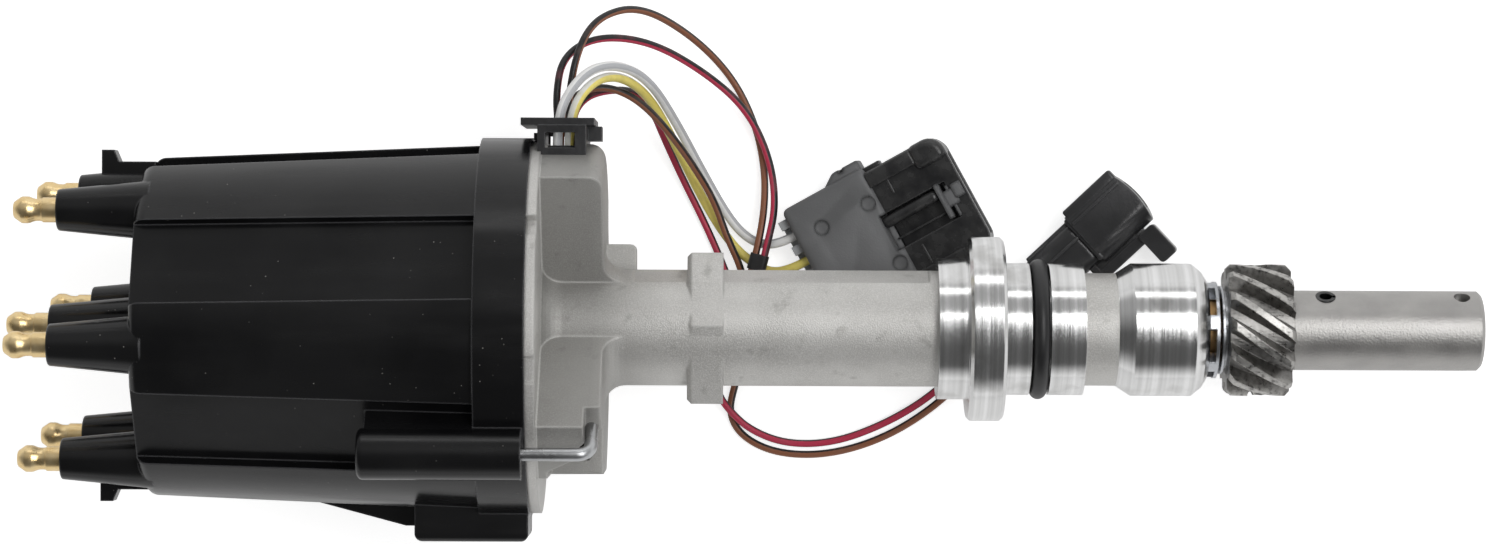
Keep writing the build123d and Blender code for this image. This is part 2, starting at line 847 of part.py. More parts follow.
def ignition_module():
    """A flat electronic module that lies in the bowl's cavity."""
    floor_x = bowl_end_x - casting_wall
    block = slab(floor_x - module_height, floor_x, module_length / 2, -module_width / 2, module_width / 2)
    block = fillet(block.faces().sort_by(Axis.X)[0].edges(), 1.0)
    ear_half_length = module_length / 2 + module_ear
    ear_x = floor_x - module_ear_height
    ears = slab(ear_x, floor_x, ear_half_length, -module_ear_half_width, module_ear_half_width)
    return module_place() * (block + ears - module_screw_bores())


def module_place():
    return clock(module_clock) * Pos(0, 0, module_seat_radius)


def module_screw_sides():
    """How far each screw lies from the middle of the module."""
    reach = (module_length + module_ear) / 2
    return (-reach, reach)


def module_screw_bores():
    floor_x = bowl_end_x - casting_wall
    bore = rod_along(floor_x - module_ear_height, floor_x + module_screw_depth, module_screw_radius)
    return Compound([Pos(0, side, 0) * bore for side in module_screw_sides()])


def module_screws():
    floor_x = bowl_end_x - casting_wall
    top_x = floor_x - module_ear_height
    shank = rod_along(top_x, floor_x + module_screw_depth, module_screw_radius)
    head = rod_along(top_x - module_screw_head, top_x, module_screw_head_radius)
    slot = Pos(top_x - module_screw_head, 0, 0) * Box(1.4, 0.9, 20)
    screw = shank + head - slot
    return [module_place() * Pos(0, side, 0) * screw for side in module_screw_sides()]


def cap_shell():
    body = turned(
        [
            (cap_face_x, 0),
            (cap_face_x, cap_face_radius),
            (skirt_x, cap_foot_radius),
            (skirt_x, skirt_radius),
            (joint_x, skirt_radius),
            (joint_x, 0),
        ]
    )
    front_edge = body.edges().filter_by(GeomType.CIRCLE).sort_by(Axis.X)[0]
    body = fillet(front_edge, cap_edge_round)
    half_pitch = 180 / cylinders
    face_flat = sqrt(cap_face_radius**2 - panel_half_width**2) - panel_depth
    foot_flat = sqrt(cap_foot_radius**2 - panel_half_width**2) - panel_depth
    panel = side_profile(
        [(cap_face_x - 5, face_flat), (skirt_x, foot_flat), (skirt_x, 70), (cap_face_x - 5, 70)],
        panel_half_width,
    )
    for index in range(cylinders):
        body = body - clock(2 * half_pitch * index + half_pitch) * panel
    return body


def tower(length):
    base_x = cap_face_x + 3
    slope = (tower_base_radius - tower_tip_radius) / tower_length
    tip_x = cap_face_x - length
    base_radius = tower_tip_radius + slope * (length + 3)
    cone = turned([(tip_x, 0), (tip_x, tower_tip_radius), (base_x, base_radius), (base_x, 0)])
    return fillet(cone.edges().filter_by(GeomType.CIRCLE).sort_by(Axis.X)[0], 0.6)


def distributor_cap():
    cap = cap_shell()
    for index in range(cylinders):
        cap = cap + clock(360 / cylinders * index) * Pos(0, 0, tower_circle) * tower(tower_length)
    cap = cap + tower(tower_length + centre_tower_extra)

    # Latch towers, their webs, the side lug with its rib, and the two wire hooks
    for angle in latch_clocks:
        post = Pos(0, 0, latch_circle) * rod_along(tower_start_x, tower_end_x, latch_tower_radius)
        post = fillet(post.edges().filter_by(GeomType.CIRCLE).sort_by(Axis.X)[0], 1.5)
        web_half_width = latch_tower_radius - 0.6
        web = slab(tower_start_x + 1.5, tower_end_x, web_half_width, cap_face_radius - 5, latch_circle)
        cap = cap + clock(angle) * (post + web)
    lug = slab(joint_x - 0.4 - lug_length, joint_x - 0.4, lug_half_width, cap_face_radius - 6, lug_reach)
    lug = fillet(lug.faces().sort_by(Axis.Z)[-1].edges(), 2.0)
    lug_start_x = joint_x - 0.4 - lug_length
    rib = side_profile(
        [
            (lug_start_x + 4, cap_face_radius - 5),
            (lug_start_x - rib_length - 4, cap_face_radius - 5),
            (lug_start_x - rib_length - 4, cap_face_radius + 0.4),
            (lug_start_x - 3, lug_reach - 3.0),
            (lug_start_x + 4, lug_reach - 3.0),
        ],
        rib_thickness / 2,
    )
    cap = cap + clock(casting_clock - 90) * lug + clock(casting_clock - 96) * rib
    for angle in (casting_clock + 90, casting_clock - 90):
        hook = side_profile(
            [
                (cap_face_x + 1.5, hook_radius),
                (cap_face_x + 1.5, hook_radius + hook_thickness),
                (cap_face_x - hook_height + 4.2, hook_radius + hook_thickness),
                (cap_face_x - hook_height + 3.0, hook_radius + hook_thickness + hook_overhang),
                (cap_face_x - hook_height, hook_radius + hook_thickness + hook_overhang),
                (cap_face_x - hook_height, hook_radius),
            ],
            hook_width / 2,
        )
        cap = cap + clock(angle) * hook

    # The inside, the skirt's step and the bores for terminals, button and latches
    inner_wall = skirt_radius - cap_wall
    cap = cap - turned(
        [
            (cap_inner_x, 0),
            (cap_inner_x, cap_cavity_face_radius),
            (skirt_x + 2, cap_cavity_foot_radius),
            (joint_x - spigot_height - 0.5, cap_cavity_foot_radius),
            (joint_x - spigot_height - 0.5, inner_wall),
            (joint_x + 1, inner_wall),
            (joint_x + 1, 0),
        ]
    )
    for index in range(cylinders):
        cap = cap - plug_terminal(index)
    cap = cap - centre_terminal()
    cap = cap - tube(button_bore_x, cap_inner_x + 1, button_radius + button_clearance)
    for angle in latch_clocks:
        bore = rod_along(tower_start_x - 1, tower_end_x + 1, latch_rod_radius + latch_bore_clearance)
        spring_bore = rod_along(tower_start_x - 1, tower_end_x - latch_shoulder, latch_spring_bore)
        cap = cap - clock(angle) * Pos(0, 0, latch_circle) * (bore + spring_bore)
    return cap


def terminal_profile(tip_x, collar_x, end_x):
    """Half outline of a terminal: flat tip, ball, waist, collar and stem."""
    ball_x = tip_x + sqrt(terminal_ball_radius**2 - terminal_flat_radius**2)
    flat_angle = degrees(asin(terminal_flat_radius / terminal_ball_radius))
    waist_angle = 180 - degrees(asin(terminal_waist_radius / terminal_ball_radius))
    outline = [(tip_x, 0)]
    steps = 8
    for step in range(steps + 1):
        angle = radians(flat_angle + (waist_angle - flat_angle) * step / steps)
        outline.append((ball_x - terminal_ball_radius * cos(angle), terminal_ball_radius * sin(angle)))
    outline = outline + [
        (collar_x, terminal_waist_radius),
        (collar_x, terminal_collar_radius),
        (collar_x + terminal_collar_length, terminal_collar_radius),
        (collar_x + terminal_collar_length, terminal_stem_radius),
        (end_x, terminal_stem_radius),
        (end_x, 0),
    ]
    return outline


def plug_terminal(index):
    tip_x = tower_tip_x - terminal_reach
    collar_x = tower_tip_x - terminal_collar_length
    stem = turned(terminal_profile(tip_x, collar_x, cap_inner_x))
    post = rod_along(cap_inner_x - 1.0, cap_inner_x + terminal_post_length, terminal_post_radius)
    return clock(360 / cylinders * index) * Pos(0, 0, tower_circle) * (stem + post)


def centre_terminal():
    tip_x = tower_tip_x - centre_tower_extra - terminal_reach
    collar_x = tower_tip_x - centre_tower_extra - terminal_collar_length
    return turned(terminal_profile(tip_x, collar_x, button_bore_x))


def carbon_button():
    button = rod_along(button_end_x - button_length, button_end_x, button_radius)
    return fillet(button.edges().filter_by(GeomType.CIRCLE).sort_by(Axis.X)[-1], 1.2)


def button_spring():
    outer = button_radius - 0.2
    return tube(button_bore_x, button_end_x - button_length, outer, outer - button_spring_wire)


def latch_rod(angle):
    """A bent rod: slotted head in the cap's tower, foot behind the bowl's ledge."""
    foot_centre_x = latch_foot_x + latch_rod_radius
    path = FilletPolyline(
        (latch_head_x + 1, 0, latch_circle),
        (foot_centre_x, 0, latch_circle),
        (foot_centre_x, 0, latch_circle - latch_foot_length),
        radius=latch_bend_radius,
    )
    rod = sweep(Plane(origin=path @ 0, z_dir=path % 0) * Circle(latch_rod_radius), path=path)
    head = rod_along(latch_head_x, latch_head_x + latch_head_length, latch_head_radius)
    slot = Pos(latch_head_x, 0, 0) * Box(2.6, latch_slot_width, 20)
    return clock(angle) * (rod + Pos(0, 0, latch_circle) * (head - slot))


def latch_washer(angle):
    end_x = latch_washer_x + latch_washer_thickness
    ring = tube(latch_washer_x, end_x, latch_head_radius, latch_rod_radius + 0.2)
    return clock(angle) * Pos(0, 0, latch_circle) * ring


def latch_spring(angle):
    start = latch_washer_x + latch_washer_thickness
    outer = latch_spring_radius + latch_spring_wire / 2
    ring = tube(start, tower_end_x - latch_shoulder, outer, outer - latch_spring_wire)
    return clock(angle) * Pos(0, 0, latch_circle) * ring


def harness_clip():
    """A moulded clip that saddles the bowl and guides the wires out of it."""
    top = clip_bottom + clip_box_height
    start = clip_box_x
    end = start + clip_box_length
    box = slab(start, end, clip_box_half_width, clip_bottom, top)
    inside = slab(
        start + clip_wall, end - clip_wall, clip_box_half_width - clip_wall, clip_bottom - 5, top + 5
    )
    window = Pos((start + end) / 2 - 0.4, 0, clip_bottom + 4.6) * Box(7.0, 3 * clip_box_half_width, 3.6)
    plate = slab(
        start - 4.0, start - 4.0 + clip_plate_length, clip_box_half_width - 1, top, top + clip_plate_thickness
    )
    tab = slab(end, end + 3.4, 4.5, top - 3.4, top)
    tongue = slab(joint_x + 0.3, start + 0.5, 5.0, rim_radius + clip_fit, rim_radius + 1.8)
    clip = box - window + plate + tab + tongue - inside
    seat = tube(joint_x - 1, bowl_start_x + clip_fit, rim_radius + clip_fit)
    seat = seat + tube(joint_x - 1, bowl_end_x + flare_radius, bowl_radius + clip_fit)
    return clock(casting_clock + 90) * clip - seat


def harness_grommet():
    """The rubber block in the bowl's slot, where the wires come out."""
    way_start, way_end = wire_way_ends()
    half_width = wire_way_half_width - grommet_clearance
    block = slab(
        way_start + grommet_clearance, way_end - grommet_clearance, half_width, grommet_bottom, grommet_top
    )
    return clock(casting_clock + 90) * block


def four_way_rows():
    return [four_way_pitch * (index - 1.5) for index in range(4)]


def four_way_body():
    """The wide flat connector, drawn from its wire end with its width across Y."""
    half = four_way_width / 2
    middle = four_way_height / 2
    rear = Pos(four_way_rear / 2, 0, middle) * Box(four_way_rear, four_way_width, four_way_height)
    rear = fillet(rear.edges().filter_by(Axis.X), 2.2)
    hump_end = hump_start + hump_length
    hump_outline = Polyline(
        (hump_start, half - 3),
        (hump_start, half),
        (hump_start + hump_ramp, half + hump_rise),
        (hump_end, half + hump_rise),
        (hump_end, half - 3),
        close=True,
    )
    hump = Pos(0, 0, hump_inset) * extrude(make_face(hump_outline), amount=four_way_height - 2 * hump_inset)
    nose_length = four_way_length - four_way_rear
    nose_width = four_way_width - 2 * connector_wall
    nose_place = Pos(four_way_rear + nose_length / 2, 0, middle)
    nose = nose_place * Box(nose_length, nose_width, four_way_height - connector_wall)
    nose = fillet(nose.edges().filter_by(Axis.X), 1.4)
    recess_place = Pos(four_way_length - 4.0 - latch_recess_length / 2, latch_aside, four_way_height)
    recess = recess_place * Box(latch_recess_length, latch_recess_width, 2 * latch_recess_depth)
    bump_x = four_way_length - latch_bump_setback - latch_bump_length / 2
    bump_z = four_way_height - latch_recess_depth + latch_bump_height / 2
    bump = Pos(bump_x, latch_aside, bump_z) * Box(latch_bump_length, latch_bump_width, latch_bump_height)
    mouth_size = (2 * socket_recess, nose_width - 2 * connector_wall, 2 * four_way_seal_radius)
    mouth = Pos(four_way_length, 0, middle) * Box(*mouth_size)
    body = rear + hump + nose - recess + bump - mouth
    for place in ((8.5, half - 6.8), (19.5, half - 6.6), (8.5, 7.0 - half), (17.0, 6.0 - half)):
        body = body - Pos(*place, four_way_height) * Cylinder(dimple_radius, 2 * dimple_depth)
    return body - four_way_seals() - four_way_terminals()


def four_way_seals():
    """One rubber plug round each wire, in the connector's wire end."""
    seal = rod_along(0, four_way_seal_length, four_way_seal_radius)
    return Compound([Pos(0, offset_y, four_way_height / 2) * seal for offset_y in four_way_rows()])


def four_way_terminals():
    length = four_way_length - four_way_seal_length - socket_recess - blade_setback
    middle_x = four_way_seal_length + length / 2
    blade = Box(length, blade_width_4, blade_height_4)
    return Compound([Pos(middle_x, offset_y, four_way_height / 2) * blade for offset_y in four_way_rows()])


def four_way_lock():
    """The lock comb: fingers between the wires, joined by a bar under them."""
    low = (four_way_height - lock_height) / 2
    comb = Pos(-lock_reach / 2, 0, low + lock_bar / 2) * Box(lock_reach, four_way_width - 4, lock_bar)
    for index in range(5):
        place = Pos(-lock_reach / 2, four_way_pitch * (index - 2), low + lock_height / 2)
        comb = comb + place * Box(lock_reach, lock_finger_width, lock_height)
    return comb


def two_way_rows():
    return [-two_way_pitch / 2, two_way_pitch / 2]


two_way_axis = two_way_rear_height / 2 + two_way_lift


def two_way_body():
    """The small hooded connector, drawn from the hood's rear face."""
    middle = two_way_height / 2
    hood_place = Pos(two_way_hood_length / 2, 0, middle)
    hood = hood_place * Box(two_way_hood_length, two_way_hood_width, two_way_height)
    hood = fillet(hood.edges().filter_by(Axis.X), 3.4)
    rib_place = Pos(two_way_hood_length / 2 + 0.6, two_way_hood_width / 2 + 0.2, middle + 1.0)
    rib = rib_place * Box(two_way_hood_length - 1.0, hood_rib_width, hood_rib_height)
    rear_place = Pos((1.0 - two_way_rear_length) / 2, 0, two_way_axis)
    rear = rear_place * Box(two_way_rear_length + 1.0, two_way_rear_width, two_way_rear_height)
    rear = fillet(rear.edges().filter_by(Axis.X), 2.4)
    arc_place = Pos(two_way_hood_length + 0.6 - hood_arc_radius, 0, 0)
    front_arc = arc_place * Cylinder(hood_arc_radius, 4 * two_way_height)
    mouth_size = (2 * socket_recess + 1.0, two_way_pitch + 2 * connector_wall, 2 * two_way_seal_radius)
    mouth = Pos(two_way_hood_length, 0, two_way_axis) * Box(*mouth_size)
    body = ((hood + rib) & front_arc) + rear - mouth
    return body - two_way_seals() - two_way_terminals()


def two_way_seals():
    seal = rod_along(-two_way_rear_length, two_way_seal_length - two_way_rear_length, two_way_seal_radius)
    return Compound([Pos(0, offset_y, two_way_axis) * seal for offset_y in two_way_rows()])


def two_way_terminals():
    start = two_way_seal_length - two_way_rear_length
    length = two_way_hood_length - socket_recess - blade_setback - start
    pin = Pos(start + length / 2, 0, two_way_axis) * Box(length, blade_width_2, blade_height_2)
    return Compound([Pos(0, offset_y, 0) * pin for offset_y in two_way_rows()])


def two_way_latch():
    """The lever beside the hood, with its thumb block."""
    hood_side = -two_way_hood_width / 2
    lever_start = -lever_root_length - 2.4
    lever_y = hood_side - lever_gap - lever_thickness / 2
    arm_place = Pos(lever_start + lever_length / 2, lever_y, two_way_axis)
    arm = arm_place * Box(lever_length, lever_thickness, lever_height)
    root_width = -two_way_rear_width / 2 - (lever_y - lever_thickness / 2)
    root_y = -(two_way_rear_width + root_width) / 2
    root_place = Pos(lever_start + lever_root_length / 2, root_y, two_way_axis)
    root = root_place * Box(lever_root_length, root_width, lever_height)
    block_x = lever_start + lever_length - thumb_block_length / 2 + 2.6
    block_y = lever_y + lever_thickness / 2 - thumb_block_width / 2
    block_size = (thumb_block_length, thumb_block_width, thumb_block_height)
    block = Pos(block_x, block_y, two_way_axis) * Box(*block_size)
    block = fillet(block.edges().filter_by(Axis.Z), 1.0)
    return arm + root + block


def cord(points, radius):
    """A wire as straight runs joined by arcs as large as the runs allow."""
    places = [Vector(point) for point in points]
    radii = []
    for before, corner, after in zip(places, places[1:], places[2:]):
        first = corner - before
        second = after - corner
        half_turn = radians(first.get_angle(second)) / 2
        radii.append(0.45 * min(first.length, second.length) / tan(half_turn))
    path = FilletPolyline(*places, radius=radii)
    section = Plane(origin=path @ 0, z_dir=path % 0) * Circle(radius)
    wire = sweep(section, path=path)
    section_area = pi * radius**2
    print(f"wire of {path.length:.1f} mm, volume ratio {wire.volume / (section_area * path.length):.4f}")
    print("  bend radii", " ".join(f"{bend:.0f}" for bend in radii))
    return wire


def wire_start(name):
    """The two points of a wire's first run, square to the grommet's face."""
    along, aside = wire_exits[name]
    face = lay_down * clock(casting_clock + 90)
    heights = (grommet_top, grommet_top + wire_exit_run)
    return [(face * Pos(along, -aside, height)).position for height in heights]


def wire_end(connector, end_x, offset_y, axis_z):
    """The two points of a wire's last run, square into the back of a connector."""
    return [(connector * Pos(x, offset_y, axis_z)).position for x in (end_x - wire_lead, end_x)]


def wire_sleeve(upper, lower):
    """The short sleeve that holds two wires side by side."""
    place = Pos(*wire_sleeve_middle) * Rot(0, 0, wire_sleeve_turn)
    outer_radius = thin_wire_radius + wire_sleeve_wall
    outline = Plane.YZ * SlotOverall(wire_pair_spacing + 2 * outer_radius, 2 * outer_radius)
    return place * extrude(outline, amount=wire_sleeve_length / 2, both=True) - upper - lower


# Free stretches of the wires from the clip to the connectors, chosen by hand, measured from
# the point on the floor under the block seat
wire_ways = {
    "wire_white": [
        (-102, 55, 53), (-97, 62, 48), (-91, 63, 38), (-86, 59, 26), (-82, 49, 12), (-77, 37, 3),
        (-71.5, 27, 1.5), (-67, 21.5, 2), (-62, 19, 4),
    ],
    "wire_yellow": [
        (-99, 55, 52), (-95, 60, 45), (-91, 60, 33), (-87, 55, 20), (-83, 44, 8), (-77, 30, 2),
        (-70, 19, 1.5), (-64, 14, 1.5), (-59, 12, 3),
    ],
    "wire_red": [
        (-106, 56, 43.5), (-105, 65, 40), (-98, 70, 33.5), (-87, 69, 22), (-76, 62, 9), (-66, 53, 4),
        (-60, 41, 4), (-58, 29, 6), (-60, 19, 7.5), (-62.3, 10.3, 7), (-59.6, 5.8, 6.5),
        (-54.5, 4.6, 6),
    ],
    "wire_brown": [
        (-103, 56, 43), (-101, 68, 40), (-97, 75, 34), (-89, 77.5, 24), (-79, 71, 10), (-70, 61, 1.5),
        (-64, 49, 1), (-61.5, 38, 2), (-61, 29, 5), (-62, 20, 7.5), (-65, 9, 7), (-64.5, 3, 6.5),
        (-61, -1.5, 6), (-55.5, -3, 6), (-50.5, -1, 5.5),
    ],
    "wire_brown_2": [
        (-105.5, 52.5, 35), (-102, 56.5, 34.5), (-96, 58, 32), (-89, 55, 28.5), (-83, 48, 22),
        (-78, 39, 12), (-73.5, 30, 6), (-70.5, 21, 5), (-67, 13, 3), (-65.5, 4, 1), (-66, -7, 1),
        (-69, -16, 1), (-70.5, -23, 1), (-67, -29, 1), (-58, -33, 1), (-45, -33, 1), (-31, -28.5, 1),
        (-18, -20, 1), (-8, -9.5, 1), (1, 0.5, 2.5),
    ],
    "wire_red_2": [
        (-103, 52, 35), (-100.5, 55.5, 32.5), (-96, 57, 28.5), (-91, 57, 22), (-88, 52.5, 13),
        (-86, 45, 6), (-82, 35, 2), (-77, 25, 1), (-72, 14, 1), (-69, 6, 1), (-70, -4, 1),
        (-72.5, -12, 2), (-73, -17.5, 4), (-70, -22, 4), (-65, -27, 2), (-56, -30.5, 1),
        (-44, -30, 1), (-31, -25, 1), (-19, -17.5, 1), (-9, -7, 1), (-2, 3.5, 3),
    ],
}
thick_wires = ("wire_white", "wire_yellow")

# Where each wire leaves the grommet: along the shaft, and to the side of the slot's middle
wire_exits = {
    "wire_white": (-106.4, 11.0),
    "wire_yellow": (-103.6, 11.0),
    "wire_red": (-106.6, 2.0),
    "wire_brown": (-103.8, 2.0),
    "wire_brown_2": (-106.4, -7.0),
    "wire_red_2": (-103.6, -7.0),
}
four_way_order = ("wire_brown", "wire_red", "wire_yellow", "wire_white")
two_way_order = ("wire_brown_2", "wire_red_2")

pieces = {
    "housing": housing(),
    "upper_bushing": bushing(hub_x, upper_bushing_length),
    "lower_bushing": bushing(nose_x + bushing_stand_out - lower_bushing_length, lower_bushing_length),
    "o_ring": o_ring(),
    "retaining_clip": retaining_clip(),
    "shaft_seal": tube(hub_x - seal_thickness, hub_x, seal_radius, shaft_radius + 0.1),
    "pickup_base_plate": pickup_plate(),
    "magnet_ring": magnet_ring(),
    "coil_bobbin": coil_bobbin(),
    "pickup_winding": pickup_winding(),
    "pole_piece": pole_piece(),
    "ignition_module": ignition_module(),
    "module_screws": Compound(module_screws()),
    "distributor_cap": distributor_cap(),
    "centre_terminal": centre_terminal(),
    "harness_clip": harness_clip(),
    "harness_grommet": harness_grommet(),
    "thrust_cup": thrust_cup(),
    "carbon_button": carbon_button(),
    "button_spring": button_spring(),
    "shaft": shaft(),
    "trigger_wheel": trigger_wheel(),
    "rotor_body": rotor_body(),
    "rotor_blade": rotor_blade(),
    "rotor_contact": rotor_contact(),
    "rotor_screws": Compound(rotor_screws()),
    "drive_gear": drive_gear(),
    "gear_pin": gear_pin(),
    "drive_sleeve": drive_sleeve(),
    "sleeve_pin": sleeve_pin(),
    "spring_washer": spring_washer(),
    "shim_washer": shim_washer(),
}
for index in range(cylinders):
    pieces[f"plug_terminal_{index + 1}"] = plug_terminal(index)
for index, angle in enumerate(latch_clocks):
    pieces[f"latch_rod_{index + 1}"] = latch_rod(angle)
    pieces[f"latch_washer_{index + 1}"] = latch_washer(angle)
    pieces[f"latch_spring_{index + 1}"] = latch_spring(angle)

# The distributor lies on the edge of its cap's skirt, a latch tower and the end of its sleeve
contact_x = sleeve_end_x - edge_break
lie_height = sleeve_radius * cos(radians(floor_slope)) + contact_x * sin(radians(floor_slope))
lay_down = Pos(0, 0, lie_height) * Rot(0, floor_slope, 0) * Rot(roll, 0, 0)
placed = {name: lay_down * piece for name, piece in pieces.items()}

four_way = Pos(*four_way_place, 0) * Rot(0, 0, four_way_turn)
two_way = Pos(*two_way_place, 0) * Rot(0, 0, two_way_turn)
harness = {
    "four_way_connector": four_way * four_way_body(),
    "four_way_seals": four_way * four_way_seals(),
    "four_way_terminals": four_way * four_way_terminals(),
    "four_way_lock": four_way * four_way_lock(),
    "two_way_connector": two_way * two_way_body(),
    "two_way_seals": two_way * two_way_seals(),
    "two_way_terminals": two_way * two_way_terminals(),
    "two_way_latch": two_way * two_way_latch(),
}
wire_ends = {}
for name, offset_y in zip(four_way_order, four_way_rows()):
    wire_ends[name] = wire_end(four_way, 0, offset_y, four_way_height / 2)
for name, offset_y in zip(two_way_order, two_way_rows()):
    wire_ends[name] = wire_end(two_way, -two_way_rear_length, offset_y, two_way_axis)
for name, way in wire_ways.items():
    radius = thick_wire_radius if name in thick_wires else thin_wire_radius
    harness[name] = cord(wire_start(name) + way + wire_ends[name], radius)
harness["wire_sleeve"] = wire_sleeve(harness["wire_red"], harness["wire_brown"])

# The part's origin is under the middle of the distributor, on the floor
extent = Compound(list(placed.values())).bounding_box()
to_origin = Pos(-extent.center().X, -extent.center().Y, -extent.min.Z)
print("origin shift", to_origin.position)

os.makedirs("parts", exist_ok=True)
for name, piece in (placed | harness).items():
    export_step(to_origin * piece, f"parts/{name}.step")
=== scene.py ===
import json
from math import acos, asin, cos, pi, radians, sin

import bpy
from mathutils import Matrix, Vector

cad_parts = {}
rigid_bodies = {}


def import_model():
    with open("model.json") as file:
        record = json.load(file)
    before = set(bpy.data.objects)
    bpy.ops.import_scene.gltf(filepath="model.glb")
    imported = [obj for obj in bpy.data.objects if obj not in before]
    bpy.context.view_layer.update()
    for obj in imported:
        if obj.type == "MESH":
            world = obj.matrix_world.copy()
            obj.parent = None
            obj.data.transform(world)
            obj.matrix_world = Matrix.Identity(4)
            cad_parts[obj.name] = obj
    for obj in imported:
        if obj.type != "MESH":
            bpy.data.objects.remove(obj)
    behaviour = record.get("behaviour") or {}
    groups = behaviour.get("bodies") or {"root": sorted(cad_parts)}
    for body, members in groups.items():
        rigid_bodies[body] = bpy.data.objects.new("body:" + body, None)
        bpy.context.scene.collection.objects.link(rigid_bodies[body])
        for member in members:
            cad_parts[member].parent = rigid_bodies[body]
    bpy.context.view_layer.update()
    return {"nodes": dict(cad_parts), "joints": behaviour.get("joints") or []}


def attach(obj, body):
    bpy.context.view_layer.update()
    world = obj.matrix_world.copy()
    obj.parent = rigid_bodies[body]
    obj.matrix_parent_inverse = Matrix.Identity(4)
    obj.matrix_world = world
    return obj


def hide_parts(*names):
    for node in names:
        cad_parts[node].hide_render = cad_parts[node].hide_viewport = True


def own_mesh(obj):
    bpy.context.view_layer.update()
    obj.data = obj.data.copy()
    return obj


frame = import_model()
bpy.ops.object.select_all(action="DESELECT")

# The distributor lies on its side on a pale table and is seen from straight above its shaft.
# It rests on the cap's skirt, one latch tower and the end of the drive sleeve, so the shaft
# slopes down to the drive end, and the casting is turned a little about the shaft.
spin = next(joint for joint in frame["joints"] if joint["name"] == "shaft_spin")
block_seat = Vector(spin["pos_m"])
floor_slope = asin(-Vector(spin["axis"]).normalized().z)
skirt_radius = 0.0453
latch_circle = 0.048
latch_tower_radius = 0.006
floor_latch_clock = 150.0
roll = radians(floor_latch_clock - 180) + acos((skirt_radius - latch_tower_radius) / latch_circle)
casting_clock = 7.0
lay_down = Matrix.Rotation(floor_slope, 3, "Y") @ Matrix.Rotation(roll, 3, "X")


def on_part(x, y, z):
    """A point given along the shaft, to the side and towards clock 0, in the row frame."""
    return block_seat + lay_down @ Vector((x, y, z))


def round_shaft(angle):
    """The direction of a clock angle about the shaft, in the row frame."""
    turn = radians(angle)
    return lay_down @ Vector((0, sin(turn), cos(turn)))


view_distance = 0.9948
view_lens = 100.2
view_turn = radians(0.25)
view_middle = -0.0617
view_rise = 0.01341

along_view = lay_down @ Vector((1, 0, 0))
across_view = round_shaft(casting_clock + 90)
to_eye = round_shaft(casting_clock)
right = along_view * cos(view_turn) + to_eye * sin(view_turn)
back = to_eye * cos(view_turn) - along_view * sin(view_turn)
up = across_view * cos(view_turn) - right * sin(view_turn)
right = right * cos(view_turn) + across_view * sin(view_turn)
eye = on_part(view_middle, 0, 0) + up * view_rise + back * view_distance

bpy.ops.object.camera_add()
camera = bpy.context.object
camera.name = "studio_camera"
camera.data.lens = view_lens
camera.data.sensor_width = 36.0
camera.data.clip_start = 0.01
camera.data.clip_end = 50.0
camera.matrix_world = Matrix((
    (right.x, up.x, back.x, eye.x),
    (right.y, up.y, back.y, eye.y),
    (right.z, up.z, back.z, eye.z),
    (0, 0, 0, 1),
))
bpy.context.scene.camera = camera
bpy.context.scene.view_settings.view_transform = "Standard"

# Studio light: one large softbox overhead, towards the drive end, a small one low on the far
# side, and a plain room that is darker on the near side. A white horizon shows only in
# reflections, so that metal mirrors it and black plastic stays black.
room_light = 0.44
far_side_mirrored = 0.40
near_side_mirrored = 0.10
horizon_foot = 0.02
far_horizon = 0.24
near_horizon = 0.46
middle_of_shaft = on_part(view_middle, 0, 0)
softboxes = {
    "overhead_softbox": (1.25, 0.16, 0.50, (1.1, 0.50), 7.5),
    "far_softbox": (0.45, 1.00, 0.0, (0.9, 0.20), 1.0),
}
for name, (above, beyond, towards_drive, size, power) in softboxes.items():
    place = middle_of_shaft + back * above + up * beyond + right * towards_drive
    bpy.ops.object.light_add(type="AREA", location=place)
    lamp = bpy.context.object
    lamp.name = name
    lamp.data.shape = "RECTANGLE"
    lamp.data.size, lamp.data.size_y = size
    lamp.data.energy = power
    aim = middle_of_shaft - place
    lamp.rotation_euler = aim.to_track_quat("-Z", "Y").to_euler()


def feed(tree, socket, value):
    """Give a socket a fixed value, or join another socket to it."""
    if isinstance(value, bpy.types.NodeSocket):
        tree.links.new(value, socket)
    else:
        socket.default_value = value


def worked(tree, operation, first, second=None):
    """One step of arithmetic on values or sockets."""
    step = tree.nodes.new("ShaderNodeMath")
    step.operation = operation
    for socket, value in zip(step.inputs, (first, second)):
        if value is not None:
            feed(tree, socket, value)
    return step.outputs[0]


def ranged(tree, source, low, high, to_low=0.0, to_high=1.0):
    """A value moved from one range to another, and held to it."""
    span = tree.nodes.new("ShaderNodeMapRange")
    feed(tree, span.inputs["Value"], source)
    ends = {"From Min": low, "From Max": high, "To Min": to_low, "To Max": to_high}
    for label, value in ends.items():
        feed(tree, span.inputs[label], value)
    return span.outputs[0]


def ray_kinds(tree):
    """Whether a ray comes straight from the eye, and whether it was mirrored on its way."""
    kinds = tree.nodes.new("ShaderNodeLightPath").outputs
    straight = worked(tree, "MAXIMUM", kinds["Is Camera Ray"], kinds["Is Transmission Ray"])
    return straight, kinds["Is Glossy Ray"]


